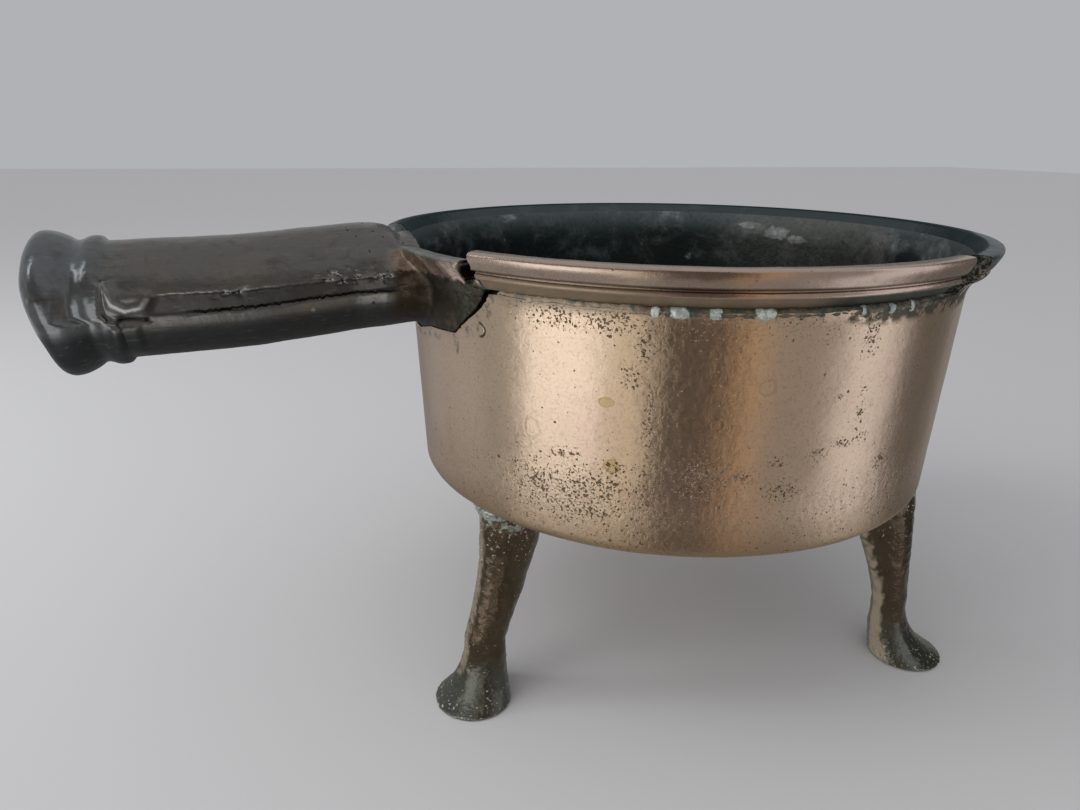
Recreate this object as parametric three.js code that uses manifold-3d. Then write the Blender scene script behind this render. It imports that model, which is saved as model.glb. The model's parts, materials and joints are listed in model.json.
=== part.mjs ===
// A cast-bronze skillet on three splayed legs, with a thick cast handle, a broken and re-soldered lip and brazed legs.
// Millimetres, +Z up. The handle points along -X. Angles are in degrees round the bowl's axis, from +X toward +Y.
import * as THREE from 'three';
import { mergeVertices } from 'three/addons/utils/BufferGeometryUtils.js';
import Module from 'manifold-3d';

const wasm = await Module();
wasm.setup();

// ---------------------------------------------------------------- driving dimensions

// bowl
const legHeight = 61;            // floor to the underside of the bowl
const bowlHeight = 73;           // underside of the bowl to the top of the lip
const neckRadius = 82.2;         // outside of the wall where the lip starts to flare
const wallTaper = 2.8;           // how much smaller the wall is at its foot than at the neck
const wallThickness = 2.6;
const baseThickness = 3.2;
const cornerRadius = 4;          // outside, between wall and base

// lip moulding: a band, a groove and a bead above a hollow neck
const lipOverhang = 7.8;         // neck to the outer edge of the lip
const neckDepth = 14.5;          // top of the lip to the neck
const bandHeight = 3.9;
const bandLean = 1.9;            // the band's foot stands this far inside its top
const grooveDepth = 1.3;
const grooveHeight = 0.6;
const beadRadius = 1.2;
const lipWidth = 5.2;            // outer edge of the lip to the inner edge of its rounded top
const lipRound = 1;              // height of the rounding on top of the lip
const throatInset = 7.2;         // outer edge of the lip to the throat
const throatDepth = 2.9;

// broken front of the lip, angles counted from the handle
const segmentStart = 31;
const segmentEnd = 114.3;
const fractureGap = 0.8;         // beyond it, where the sound lip begins again
const fractureSlant = 6;         // the old fracture runs obliquely through the lip
const segmentShift = 2;          // the piece is soldered this far inside its old place
const segmentLift = 0.3;
const fractureRoughness = 0.45;

// handle
const handleLength = 88.5;       // outer edge of the lip to the end of the knob
const rootRadius = 14.6;         // barrel where it meets the wall
const gripRadius = 15.1;         // barrel at its outer end
const rootDepth = 11;            // top of the lip to the barrel's axis, at the lip's outer edge
const innerDroop = 5;            // slope of the barrel's axis next to the bowl, degrees
const outerDroop = 1.7;          // slope of the outer half, degrees
const bendSetback = 50;          // end of the knob to the slight bend
const ringSetback = 15.2;        // end of the knob to the crown of the ring
const ringProud = 1.4;           // above the grip
const ringLength = 5.6;
const ringStep = 0.9;            // length of the sharp step up to the ring
const knobSetback = 5.2;         // end of the knob to its widest section
const knobProud = 3.3;
const knobLength = 12;           // neck of the knob to the end
const mouldShift = 3.1;          // lower half of the mould slipped this far toward the bowl
const mouldSlip = 0.35;          // and this far to one side
const rootSpread = 0.28;         // the root widens by this share along the wall
const rootLength = 11;           // length of the barrel that changes shape into the root
const shoulderLength = 12;       // the barrel's top rounds down to the lip over this length
const shoulderSink = 0.27;       // by this share of its radius
const shoulderInset = 3;         // and ends this far inside the lip's outer edge

// legs; no two stand quite alike, so each has its own angle from the handle and its own shift toward the axis
const legs = [
  { name: 'near_handle', angle: 23.9, inset: 3 },
  { name: 'right', angle: 142.1, inset: 0 },
  { name: 'back', angle: 263, inset: 0.8 },
];
const legTopDepth = 23;          // radial size of a leg at the bowl's underside
const legTopWidth = 16.8;        // the same across
const ankleDepth = 10.4;
const ankleWidth = 12.4;
const ankleHeight = 19.5;        // floor to the slimmest section
const ankleSplay = 3.2;          // the ankle's outer face stands this far outside the bowl's foot
const footDepth = 23.4;
const footWidth = 24;
const footEdge = 2.6;            // height of the thin edge of the foot
const footFlare = 2.6;           // how quickly the foot spreads; higher is thinner
const footRound = 1;             // the sole is smaller than that edge all round
const footInset = 6.4;           // the back of the foot stands this far inside the bowl's foot
const legProud = 0.2;            // the leg's top stands this far proud of the wall
const legRise = 3;               // and climbs this far up the corner of the bowl

// solder
const filletSize = 1.3;          // bead of braze round the top of each leg
const filletDepth = 3;           // how far that bead runs down the leg
const filletLumps = 0.3;
const seamThickness = 1.3;       // solder seam under the lip segment, measured out from the neck
const seamHeight = 2.3;
const seamStart = 38;
const seamEnd = 107;
const lumpAngles = [60.7, 64.3, 69.7, 77, 93.4, 99.2];
const lumpSpread = 1.3;          // half-width of a lump, degrees
const lumpGrowth = 0.85;         // how much thicker the seam is at a lump

// fits and facets
const gap = 0.3;                 // clearance between neighbouring castings and solder
const roundFacets = 64;
const handleFacets = 32;
const legFacets = 20;
const arcSteps = 3;
const seamSides = 6;
const seamStep = 1.4;            // degrees between sections of the solder seam

// crack between the handle's patch and the bowl, on the side of the break:
// depth below the lip, angle from the handle, width of the opening
const crack = [
  { depth: 0, angle: 29.8, width: 1.5 },
  { depth: 4.3, angle: 28.6, width: 2.5 },
  { depth: 7.9, angle: 27.7, width: 2.3 },
  { depth: 8.5, angle: 29.4, width: 1.3 },
  { depth: 9.6, angle: 31.6, width: 0.9 },
  { depth: 11.5, angle: 30.3, width: 0.9 },
  { depth: 14.6, angle: 28.2, width: 0.8 },
  { depth: 17.1, angle: 25.8, width: 0.6 },
  { depth: 19.8, angle: 23.3, width: 0.5 },
  { depth: 22.6, angle: 20.9, width: 0.4 },
  { depth: 23.7, angle: 11, width: 0.4 },
  { depth: 26, angle: 3.8, width: 0.4 },
];
const hairline = 0.4;            // width of the closed crack on the other side
const patchHalfAngle = 26;       // and its mean angle from the handle
const patchSag = 2;              // the patch's lip has sunk this far on the side of the break
const patchWear = 1;             // and lost this much of its outer edge, with all of its moulding

// ---------------------------------------------------------------- derived sizes

const rimTop = legHeight + bowlHeight;
const rimRadius = neckRadius + lipOverhang;
const baseRadius = neckRadius - wallTaper;
const handleEnd = rimRadius + handleLength;
const handleAngle = 180;
const radians = THREE.MathUtils.degToRad;
const smoothstep = THREE.MathUtils.smoothstep;
const blend = THREE.MathUtils.lerp;

// ---------------------------------------------------------------- solids and meshes

function toSolid(geometry) {
  const bare = new THREE.BufferGeometry();
  bare.setAttribute('position', geometry.getAttribute('position').clone());
  if (geometry.index) bare.setIndex(geometry.index.clone());
  const merged = mergeVertices(bare, 1e-4);
  const corners = merged.index.array;
  const triangles = [];
  for (let i = 0; i < corners.length; i += 3) {
    const [a, b, c] = [corners[i], corners[i + 1], corners[i + 2]];
    if (a !== b && b !== c && c !== a) triangles.push(a, b, c);
  }
  if (signedVolume(merged.getAttribute('position'), triangles) < 0) triangles.reverse();
  return new wasm.Manifold(new wasm.Mesh({
    numProp: 3,
    vertProperties: new Float32Array(merged.getAttribute('position').array),
    triVerts: new Uint32Array(triangles),
  }));
}

function signedVolume(position, triangles) {
  const [a, b, c] = [new THREE.Vector3(), new THREE.Vector3(), new THREE.Vector3()];
  let volume = 0;
  for (let i = 0; i < triangles.length; i += 3) {
    a.fromBufferAttribute(position, triangles[i]);
    b.fromBufferAttribute(position, triangles[i + 1]);
    c.fromBufferAttribute(position, triangles[i + 2]);
    volume += a.dot(b.cross(c)) / 6;
  }
  return volume;
}

function toGeometry(solid) {
  const mesh = solid.getMesh();
  const geometry = new THREE.BufferGeometry();
  geometry.setAttribute('position', new THREE.BufferAttribute(new Float32Array(mesh.vertProperties), 3));
  geometry.setIndex(new THREE.BufferAttribute(new Uint32Array(mesh.triVerts), 1));
  geometry.computeVertexNormals();
  return geometry;
}

// a profile of (radius, height) points turned round the Z axis
function turned(profile) {
  return toSolid(new THREE.LatheGeometry(profile, roundFacets).rotateX(Math.PI / 2));
}

// sections of equally many points, skinned one after the other and closed at both ends
function loft(sections) {
  const size = sections[0].length;
  const positions = sections.flat().flatMap((p) => [p.x, p.y, p.z]);
  const triangles = [];
  for (let s = 0; s + 1 < sections.length; s += 1) {
    for (let i = 0; i < size; i += 1) {
      const j = (i + 1) % size;
      const [a, b, c, d] = [s * size + i, s * size + j, (s + 1) * size + j, (s + 1) * size + i];
      triangles.push(a, b, c, a, c, d);
    }
  }
  for (const [s, flip] of [[0, true], [sections.length - 1, false]]) {
    const centre = new THREE.Vector3();
    sections[s].forEach((p) => centre.addScaledVector(p, 1 / size));
    const hub = positions.length / 3;
    positions.push(centre.x, centre.y, centre.z);
    for (let i = 0; i < size; i += 1) {
      const [a, b] = [s * size + i, s * size + (i + 1) % size];
      triangles.push(...(flip ? [b, a, hub] : [a, b, hub]));
    }
  }
  const geometry = new THREE.BufferGeometry();
  geometry.setAttribute('position', new THREE.Float32BufferAttribute(positions, 3));
  geometry.setIndex(triangles);
  return toSolid(geometry);
}

const polar = (radius, degrees, z) => new THREE.Vector3(
  radius * Math.cos(radians(degrees)),
  radius * Math.sin(radians(degrees)),
  z,
);

// repeatable unevenness between -1 and 1
const uneven = (t) => 0.5 * Math.sin(t * 1.7) + 0.3 * Math.sin(t * 4.1 + 1) + 0.2 * Math.sin(t * 9.3 + 2);

// ---------------------------------------------------------------- bowl

// the hollow neck under the lip, from the wall up to the bead
const coveFoot = new THREE.Vector2(neckRadius, rimTop - neckDepth);
const bandFoot = new THREE.Vector2(rimRadius - bandLean, rimTop - bandHeight);
const groove = new THREE.Vector2(bandFoot.x - grooveDepth, bandFoot.y - grooveHeight);
const beadCentre = new THREE.Vector2(groove.x - beadRadius / 2, groove.y - beadRadius);
const coveTop = new THREE.Vector2(beadCentre.x - beadRadius / 3, beadCentre.y - beadRadius);
const cove = new THREE.QuadraticBezierCurve(
  coveFoot,
  new THREE.Vector2(neckRadius, blend(coveFoot.y, coveTop.y, 0.6)),
  coveTop,
);

// outside and top of the lip, from the foot of the bead over the rounded top to the throat
function lipPath() {
  const path = new THREE.Path();
  path.moveTo(coveTop.x, coveTop.y);
  path.absarc(beadCentre.x, beadCentre.y, beadRadius, -Math.PI / 2, Math.PI / 3, false);
  path.lineTo(groove.x, groove.y);
  path.lineTo(bandFoot.x, bandFoot.y);
  path.lineTo(rimRadius, rimTop - lipRound);
  path.quadraticCurveTo(rimRadius, rimTop, rimRadius - lipWidth / 2, rimTop);
  path.quadraticCurveTo(rimRadius - lipWidth, rimTop, rimRadius - lipWidth, rimTop - lipRound / 2);
  path.lineTo(rimRadius - throatInset, rimTop - throatDepth);
  return path;
}

// the same where the moulding has broken away and the lip has sunk
function wornLipPath() {
  const top = rimTop - patchSag;
  const edge = rimRadius - patchWear;
  const path = new THREE.Path();
  path.moveTo(coveTop.x, coveTop.y);
  path.lineTo(edge, top - lipRound);
  path.quadraticCurveTo(edge, top, rimRadius - lipWidth / 2, top);
  path.lineTo(rimRadius - lipWidth, top);
  path.lineTo(rimRadius - throatInset, rimTop - throatDepth);
  return path;
}

// inside of the wall, from the throat down to the top of the floor
function innerPath() {
  const innerNeck = neckRadius - wallThickness;
  const innerBase = baseRadius - wallThickness;
  const floor = legHeight + baseThickness;
  const innerCorner = cornerRadius - wallThickness / 2;
  const path = new THREE.Path();
  path.moveTo(rimRadius - throatInset, rimTop - throatDepth);
  path.quadraticCurveTo(innerNeck, rimTop - neckDepth / 2, innerNeck, rimTop - neckDepth);
  path.lineTo(innerBase, floor + innerCorner);
  path.absarc(innerBase - innerCorner, floor + innerCorner, innerCorner, 0, -Math.PI / 2, true);
  path.lineTo(0, floor);
  return path;
}

// outside of the base and wall, grown by a clearance where another piece has to stay clear of it
function outerWall(clearance) {
  const path = new THREE.Path();
  const flat = baseRadius - cornerRadius;
  path.moveTo(0, legHeight - clearance);
  path.lineTo(flat, legHeight - clearance);
  path.absarc(flat, legHeight + cornerRadius, cornerRadius + clearance, -Math.PI / 2, 0, false);
  path.lineTo(neckRadius + clearance, coveFoot.y);
  return path;
}

// the whole casting with a given lip, before it broke
function casting(lip) {
  return turned([
    ...outerWall(0).getPoints(arcSteps),
    ...cove.getPoints(arcSteps).slice(1),
    ...lip.getPoints(arcSteps).slice(1),
    ...innerPath().getPoints(arcSteps).slice(1),
  ]);
}

const breakDepth = rimTop - coveTop.y;
const cutReach = lipOverhang + throatInset;
const cutInside = neckRadius - cutReach;
const cutOutside = rimRadius + cutReach;

// an angular sector of the lip, deeper than the break by a rough edge where asked
function lipSector(start, end, depth, roughness, slant) {
  const steps = Math.round((end - start) / 4);
  const sections = [];
  for (let i = 0; i <= steps; i += 1) {
    const angle = handleAngle + blend(start, end, i / steps);
    const low = rimTop - depth - roughness * (1 + uneven(i));
    const outerAngle = i === steps ? angle + slant : angle;
    sections.push([
      polar(cutInside, angle, low),
      polar(cutOutside, outerAngle, low),
      polar(cutOutside, outerAngle, rimTop + cutReach),
      polar(cutInside, angle, rimTop + cutReach),
    ]);
  }
  return loft(sections);
}

// the patch of wall and lip that stayed with the handle; side is 1 for the patch and -1 for the hole it leaves
function patchSector(side) {
  const foot = crack[crack.length - 1];
  const toDegrees = (width) => THREE.MathUtils.radToDeg(width / neckRadius);
  const rows = crack.map((row, i) => ({
    z: rimTop - row.depth,
    near: row.angle - side * toDegrees(row.width) / 2,
    far: blend(patchHalfAngle, foot.angle, (row.depth / foot.depth) ** 3) + uneven(i) - side * toDegrees(hairline) / 2,
  }));
  rows.unshift({ ...rows[0], z: rimTop + cutReach });
  rows[rows.length - 1].z += side * hairline / 2;
  return loft(rows.map((row) => [
    polar(cutInside, handleAngle - row.far, row.z),
    polar(cutInside, handleAngle + row.near, row.z),
    polar(cutOutside, handleAngle + row.near, row.z),
    polar(cutOutside, handleAngle - row.far, row.z),
  ]));
}

function bowl() {
  const fracture = lipSector(crack[0].angle, segmentEnd + fractureGap, breakDepth + gap, fractureRoughness, fractureSlant);
  return casting(lipPath()).subtract(fracture).subtract(patchSector(-1));
}

// ---------------------------------------------------------------- broken piece of the lip

function rimSegment() {
  const inner = innerPath().getPoints(arcSteps * 2).filter((p) => p.y > coveTop.y);
  const profile = [...lipPath().getPoints(arcSteps), ...inner.slice(1)];
  profile.push(new THREE.Vector2(profile[profile.length - 1].x, coveTop.y));
  profile.push(profile[0].clone());
  const ring = turned(profile);
  const piece = ring.intersect(lipSector(segmentStart, segmentEnd, breakDepth + cutReach, 0, 0));
  const middle = polar(segmentShift, handleAngle + (segmentStart + segmentEnd) / 2, 0);
  return piece.translate([-middle.x, -middle.y, segmentLift]);
}

// seam of solder that lies along the neck under the segment
function rimSolder() {
  const on = cove.getPoint(0.8);
  const along = cove.getTangent(0.8);
  const out = new THREE.Vector2(along.y, -along.x);
  const steps = Math.round((seamEnd - seamStart) / seamStep);
  const sections = [];
  for (let i = 0; i <= steps; i += 1) {
    const angle = blend(seamStart, seamEnd, i / steps);
    const lump = lumpAngles.reduce((sum, at) => sum + Math.exp(-(((angle - at) / lumpSpread) ** 2)), 0);
    const taper = Math.sqrt(Math.min(1, (Math.min(i, steps - i) + 0.5) / 3));
    const size = (1 + lumpGrowth * lump + 0.15 * uneven(angle)) * taper;
    const thick = seamThickness / 2 * Math.min(size, 1.5);
    const tall = seamHeight / 2 * Math.min(size, 1.35);
    const section = [];
    for (let k = 0; k < seamSides; k += 1) {
      const turn = 2 * Math.PI * k / seamSides;
      const offset = gap + thick + thick * Math.cos(turn);
      const slide = tall * Math.sin(turn);
      const radius = on.x + out.x * offset + along.x * slide;
      section.push(polar(radius, handleAngle + angle, on.y + out.y * offset + along.y * slide));
    }
    sections.push(section);
  }
  return loft(sections);
}

// ---------------------------------------------------------------- handle

function handleProfile() {
  const start = cutInside;
  const ringAt = handleEnd - ringSetback;
  const neckAt = handleEnd - knobLength;
  const knobAt = handleEnd - knobSetback;
  const knobRadius = gripRadius + knobProud;
  const neckOfKnob = gripRadius + ringProud / 3;
  const path = new THREE.Path();
  path.moveTo(0, start);
  path.lineTo(rootRadius, start);
  const shoulder = new THREE.LineCurve(
    new THREE.Vector2(rootRadius, rimRadius - throatInset),
    new THREE.Vector2(rootRadius, rimRadius - shoulderInset + shoulderLength),
  );
  shoulder.getPoints(6).forEach((p) => path.lineTo(p.x, p.y));
  const grip = new THREE.LineCurve(
    new THREE.Vector2(rootRadius, rimRadius - shoulderInset + shoulderLength),
    new THREE.Vector2(gripRadius, ringAt - ringLength / 2),
  );
  grip.getPoints(8).slice(1).forEach((p) => path.lineTo(p.x, p.y));
  path.lineTo(gripRadius + ringProud * 0.8, ringAt - ringLength / 2 + ringStep);
  path.quadraticCurveTo(gripRadius + ringProud * 1.15, ringAt, neckOfKnob, neckAt);
  path.bezierCurveTo(neckOfKnob, blend(neckAt, knobAt, 0.3), knobRadius, blend(neckAt, knobAt, 0.4), knobRadius, knobAt);
  path.bezierCurveTo(
    knobRadius,
    handleEnd - knobSetback * 0.35,
    knobRadius * 0.8,
    handleEnd - knobSetback * 0.12,
    0,
    handleEnd,
  );
  return path.getPoints(5);
}

// height of the barrel's axis, which droops a little and bends once
function axisHeight(reach) {
  const bendAt = handleEnd - bendSetback;
  const inner = Math.min(reach, bendAt) - rimRadius;
  const outer = Math.max(0, reach - bendAt);
  return rimTop - rootDepth - inner * Math.tan(radians(innerDroop)) - outer * Math.tan(radians(outerDroop));
}

function barrel() {
  const geometry = new THREE.LatheGeometry(handleProfile(), handleFacets);
  const position = geometry.getAttribute('position');
  const bendAt = handleEnd - bendSetback;
  for (let i = 0; i < position.count; i += 1) {
    const [side, along, up] = [position.getX(i), position.getY(i), position.getZ(i)];
    const lower = smoothstep(-up / Math.max(Math.hypot(side, up), 1e-6), -0.05, 0.12);
    const slipped = lower * smoothstep(along, rimRadius, bendAt);
    const root = 1 - smoothstep(along, rimRadius, rimRadius + rootLength);
    const reach = along - mouldShift * slipped * Math.min(1, Math.hypot(side, up) / gripRadius);
    const lateral = side * (1 + rootSpread * root) + mouldSlip * slipped;
    const toLip = THREE.MathUtils.clamp((rimRadius - shoulderInset + shoulderLength - reach) / shoulderLength, 0, 1);
    const sink = shoulderSink * (1 - Math.sqrt(1 - toLip ** 2));
    const rise = up > 0 ? up * (1 - sink) : up;
    position.setXYZ(i, -reach, lateral, axisHeight(reach) + rise);
  }
  return toSolid(geometry);
}

// everything inside the lip and the wall, which the handle must not enter
function mouthSpace() {
  return turned([
    new THREE.Vector2(0, rimTop + cutReach),
    new THREE.Vector2(rimRadius - throatInset, rimTop + cutReach),
    ...innerPath().getPoints(arcSteps),
  ]);
}

function handle() {
  const nearSide = lipSector(0, crack[0].angle + cutReach, rimTop, 0, 0);
  const sound = casting(lipPath()).intersect(patchSector(1)).subtract(nearSide);
  const worn = casting(wornLipPath()).intersect(patchSector(1)).intersect(nearSide);
  return barrel().subtract(mouthSpace()).add(sound).add(worn);
}

// ---------------------------------------------------------------- legs

// elliptical sections of a leg, from the sole up: height, radial middle, depth and width
function legSections(inset) {
  const section = (z, back, front, width) => ({ z, middle: (back + front) / 2 - inset, depth: front - back, width });
  const topFace = baseRadius + legProud;
  const ankleFace = baseRadius + ankleSplay;
  const ankleBack = ankleFace - ankleDepth;
  const heel = baseRadius - footInset;
  const toe = heel + footDepth;
  const foot = [0.2, 0.4, 0.8, 1.6, 2.8, 4.4].map((share) => {
    const height = share * footEdge / ankleHeight;
    const flare = (1 - height) ** footFlare;
    const front = blend(ankleFace, toe, flare);
    return section(share * footEdge, blend(ankleBack, heel, flare), front, blend(ankleWidth, footWidth, flare));
  });
  const shin = [0, 0.25, 0.5, 0.75, 1].map((t) => {
    const face = blend(ankleFace, topFace, t);
    const depth = blend(ankleDepth, legTopDepth, t ** 1.15);
    return section(blend(ankleHeight, legHeight, t), face - depth, face, blend(ankleWidth, legTopWidth, t ** 2));
  });
  return [
    section(0, heel + footRound, toe - footRound, footWidth - 2 * footRound),
    ...foot,
    ...shin,
    section(legHeight + legRise, topFace - legTopDepth, topFace, legTopWidth * 0.8),
  ];
}

function ellipse({ z, middle, depth, width }, growth, lumps) {
  const points = [];
  for (let i = 0; i < legFacets; i += 1) {
    const turn = 2 * Math.PI * i / legFacets;
    const bump = growth + lumps * uneven(i + z);
    points.push(new THREE.Vector3(
      middle + (depth / 2 + bump) * Math.cos(turn),
      (width / 2 + bump) * Math.sin(turn),
      z,
    ));
  }
  return points;
}

// the bowl's outside, grown by the gap, that legs and braze are fitted against
function bowlBlock() {
  const outside = outerWall(gap).getPoints(arcSteps * 2);
  return turned([...outside, new THREE.Vector2(0, coveFoot.y)]);
}

function leg(inset) {
  return loft(legSections(inset).map((section) => ellipse(section, 0, 0))).subtract(bowlBlock());
}

// bead of braze in the corner between leg and bowl
function legSolder(inset) {
  const sections = legSections(inset);
  const [shoulder, top] = sections.slice(-2);
  const below = sections[sections.length - 3];
  const at = (z) => {
    const t = (z - below.z) / (shoulder.z - below.z);
    return {
      z,
      middle: blend(below.middle, shoulder.middle, t),
      depth: blend(below.depth, shoulder.depth, t),
      width: blend(below.width, shoulder.width, t),
    };
  };
  const bead = loft([
    ellipse(at(legHeight - filletDepth), gap * 2, filletLumps / 3),
    ellipse(at(legHeight - filletDepth / 2), filletSize / 2, filletLumps),
    ellipse(shoulder, filletSize, filletLumps),
    ellipse({ ...top, z: blend(shoulder.z, top.z, 0.6), width: blend(shoulder.width, top.width, 0.6) }, filletSize * 0.7, filletLumps),
    ellipse({ ...top, z: top.z + gap * 4 }, gap * 3, 0),
  ]);
  const core = loft([...sections.slice(-4), { ...top, z: top.z + gap }].map((section) => ellipse(section, gap, 0)));
  return bead.subtract(core).subtract(bowlBlock());
}

// ---------------------------------------------------------------- assembly

const bronze = () => new THREE.MeshStandardMaterial({ color: 0xb59a74, roughness: 0.32, metalness: 1 });
const darkBronze = () => new THREE.MeshStandardMaterial({ color: 0x4e4a44, roughness: 0.4, metalness: 0.9 });
const roughBronze = () => new THREE.MeshStandardMaterial({ color: 0x6d5c48, roughness: 0.6, metalness: 0.8 });
const solder = () => new THREE.MeshStandardMaterial({ color: 0x9aa39a, roughness: 0.75, metalness: 0.4 });

const skillet = new THREE.Group();

function place(name, solid, material, parent = skillet) {
  const mesh = new THREE.Mesh(toGeometry(solid), material);
  mesh.name = name;
  parent.add(mesh);
}

place('bowl', bowl(), bronze());
place('handle', handle(), darkBronze());
place('rim_segment', rimSegment(), bronze());
place('rim_solder', rimSolder(), solder());

for (const { name, angle, inset } of legs) {
  const station = new THREE.Group();
  station.rotation.z = radians(handleAngle + angle);
  skillet.add(station);
  place(`leg_${name}`, leg(inset), roughBronze(), station);
  place(`leg_solder_${name}`, legSolder(inset), solder(), station);
}

// the origin is on the floor, under the middle of the whole object
skillet.updateMatrixWorld(true);
const extent = new THREE.Box3().setFromObject(skillet, true);
const middle = extent.getCenter(new THREE.Vector3());
skillet.position.set(-middle.x, -middle.y, -extent.min.z);

export default skillet;
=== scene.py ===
import json
import math

import bmesh
import bpy
from bpy.props import FloatProperty, FloatVectorProperty, IntProperty, PointerProperty
from mathutils import Matrix, Vector, noise

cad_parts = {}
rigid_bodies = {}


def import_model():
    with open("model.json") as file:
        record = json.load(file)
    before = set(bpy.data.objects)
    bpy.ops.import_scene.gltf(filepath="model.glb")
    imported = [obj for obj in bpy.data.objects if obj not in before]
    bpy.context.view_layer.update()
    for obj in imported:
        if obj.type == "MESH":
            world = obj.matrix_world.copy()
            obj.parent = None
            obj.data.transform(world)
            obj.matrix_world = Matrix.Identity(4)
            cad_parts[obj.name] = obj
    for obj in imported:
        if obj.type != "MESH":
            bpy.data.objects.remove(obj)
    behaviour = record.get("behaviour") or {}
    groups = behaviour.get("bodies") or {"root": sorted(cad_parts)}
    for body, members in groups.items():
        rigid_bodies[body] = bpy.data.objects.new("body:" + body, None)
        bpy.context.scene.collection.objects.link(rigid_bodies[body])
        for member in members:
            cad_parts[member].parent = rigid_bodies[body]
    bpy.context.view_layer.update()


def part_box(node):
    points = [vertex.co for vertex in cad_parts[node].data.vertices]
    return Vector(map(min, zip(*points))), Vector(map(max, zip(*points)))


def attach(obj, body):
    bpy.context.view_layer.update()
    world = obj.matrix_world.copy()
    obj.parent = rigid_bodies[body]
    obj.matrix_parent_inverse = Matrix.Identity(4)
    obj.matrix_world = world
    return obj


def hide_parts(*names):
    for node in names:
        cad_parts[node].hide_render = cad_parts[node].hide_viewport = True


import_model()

bl_info = {
    "name": "Three-legged bronze skillet",
    "version": (1, 0, 0),
    "blender": (4, 5, 0),
    "location": "3D View > Sidebar > Skillet",
    "description": "Models and finishes a cast skillet with a repaired lip round its packed solids",
    "category": "Object",
}

# ------------------------------------------------------------------ places taken from the frame

MM = 0.001
BODY = "root"
RIM_RADIUS = 90 * MM
bowl_low, bowl_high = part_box("bowl")
AXIS = Vector((bowl_high.x - RIM_RADIUS, bowl_high.y - RIM_RADIUS, 0))
RIM_TOP = bowl_high.z
UNDERSIDE = bowl_low.z
KNOB_END = AXIS.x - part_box("handle")[0].x
HANDLE_ANGLE = math.pi
WALL_RADIUS = 82 * MM       # for lengths round the wall

# the jagged crack on the side of the break: depth below the lip (mm), angle from the handle (degrees), width (mm)
CRACK = [
    (0, 29.8, 1.8), (4.3, 28.6, 2.6), (7.9, 27.9, 2.5), (8.5, 29.4, 2.1), (9.6, 31.4, 2.0), (11.5, 30.3, 1.8),
    (14.6, 28.2, 1.7), (17.1, 25.8, 1.4), (19.8, 23.3, 1.1), (22.6, 20.9, 0.8), (23.7, 11, 0.4), (26, 3.8, 0.4),
]
# each leg's angle from the handle (degrees), its shift toward the axis and how much further its ankle stands out (mm)
LEGS = {"near_handle": (23.9, 3.0, 3.2), "right": (142.1, 0.0, 0.0), "back": (263.0, 0.8, 0.0)}


# ------------------------------------------------------------------ sizes and colours

def length(name, description, millimetres):
    return FloatProperty(name=name, description=description, default=millimetres * MM, unit="LENGTH", precision=5)


def bearing(name, description, degrees):
    return FloatProperty(name=name, description=description, default=math.radians(degrees), subtype="ANGLE")


def tint(name, description, colour):
    return FloatVectorProperty(name=name, description=description, default=colour, subtype="COLOR", size=3)


class BowlSettings(bpy.types.PropertyGroup):
    neck: length("Neck radius", "Outside of the wall where the lip starts to flare", 82.2)
    foot: length("Foot radius", "Outside of the wall at the underside", 79.4)
    wall: length("Wall", "Thickness of the wall", 2.6)
    floor: length("Floor", "Thickness of the floor", 3.2)
    corner: length("Corner", "Radius between wall and underside", 4)
    ripple: length("Ripple", "Unevenness of the wall", 0.22)
    sides: IntProperty(name="Sides", description="Facets round the bowl", default=256, min=64)
    bronze: tint("Bronze", "Polished bronze", (0.76, 0.588, 0.43))
    lining: tint("Lining", "Tarnished inside", (0.115, 0.13, 0.128))


class LipSettings(bpy.types.PropertyGroup):
    start: bearing("Start", "Broken piece begins, from the handle", 31)
    end: bearing("End", "Broken piece ends, from the handle", 114.3)
    inward: length("Inward", "How far inside its old place the piece is soldered", 2)
    lift: length("Lift", "How far it stands above the lip", 0.3)
    sag: length("Sag", "How far the lip on the handle's patch has sunk", 2)
    wear: length("Wear", "How much of that lip's outer edge is lost", 1)
    bronze: tint("Bronze", "Pinkish bronze of the broken piece", (0.60, 0.47, 0.38))


class HandleSettings(bpy.types.PropertyGroup):
    root: length("Root radius", "Barrel next to the bowl", 14.6)
    grip: length("Grip radius", "Barrel at its outer end", 15.1)
    ring: length("Ring", "How proud the ring stands", 1.4)
    knob: length("Knob", "How proud the knob stands", 3.3)
    slip: length("Slip", "Lower half of the mould slipped this far toward the bowl", 3.1)
    skin: length("Skin", "Size of the smallest detail of the casting", 0.42)
    bronze: tint("Dark bronze", "Patina of the handle", (0.165, 0.156, 0.144))


class LegSettings(bpy.types.PropertyGroup):
    ankle: length("Ankle", "Width of the slimmest section", 12.4)
    foot: length("Foot", "Width of the splayed foot", 24)
    roughness: length("Roughness", "Height of the casting skin's lumps", 0.5)
    bronze: tint("Rough bronze", "Unpolished bronze of the legs", (0.125, 0.094, 0.062))
    crust: tint("Crust", "Pale dry crust on the legs", (0.62, 0.56, 0.46))


class SolderSettings(bpy.types.PropertyGroup):
    bead: length("Bead", "Size of the braze round a leg", 1.6)
    seam: length("Seam", "Thickness of the solder under the lip", 1.2)
    metal: tint("Solder", "Dull solder", (0.70, 0.77, 0.71))
    corrosion: tint("Corrosion", "Green-black corrosion", (0.055, 0.085, 0.075))


class StageSettings(bpy.types.PropertyGroup):
    table: tint("Table", "What polished metal reflects in place of the floor", (0.27, 0.265, 0.26))
    floor: tint("Floor", "Pale floor and backdrop", (0.55, 0.55, 0.56))
    key: FloatProperty(name="Key", description="Strength of the large soft light", default=1.0, min=0)


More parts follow.
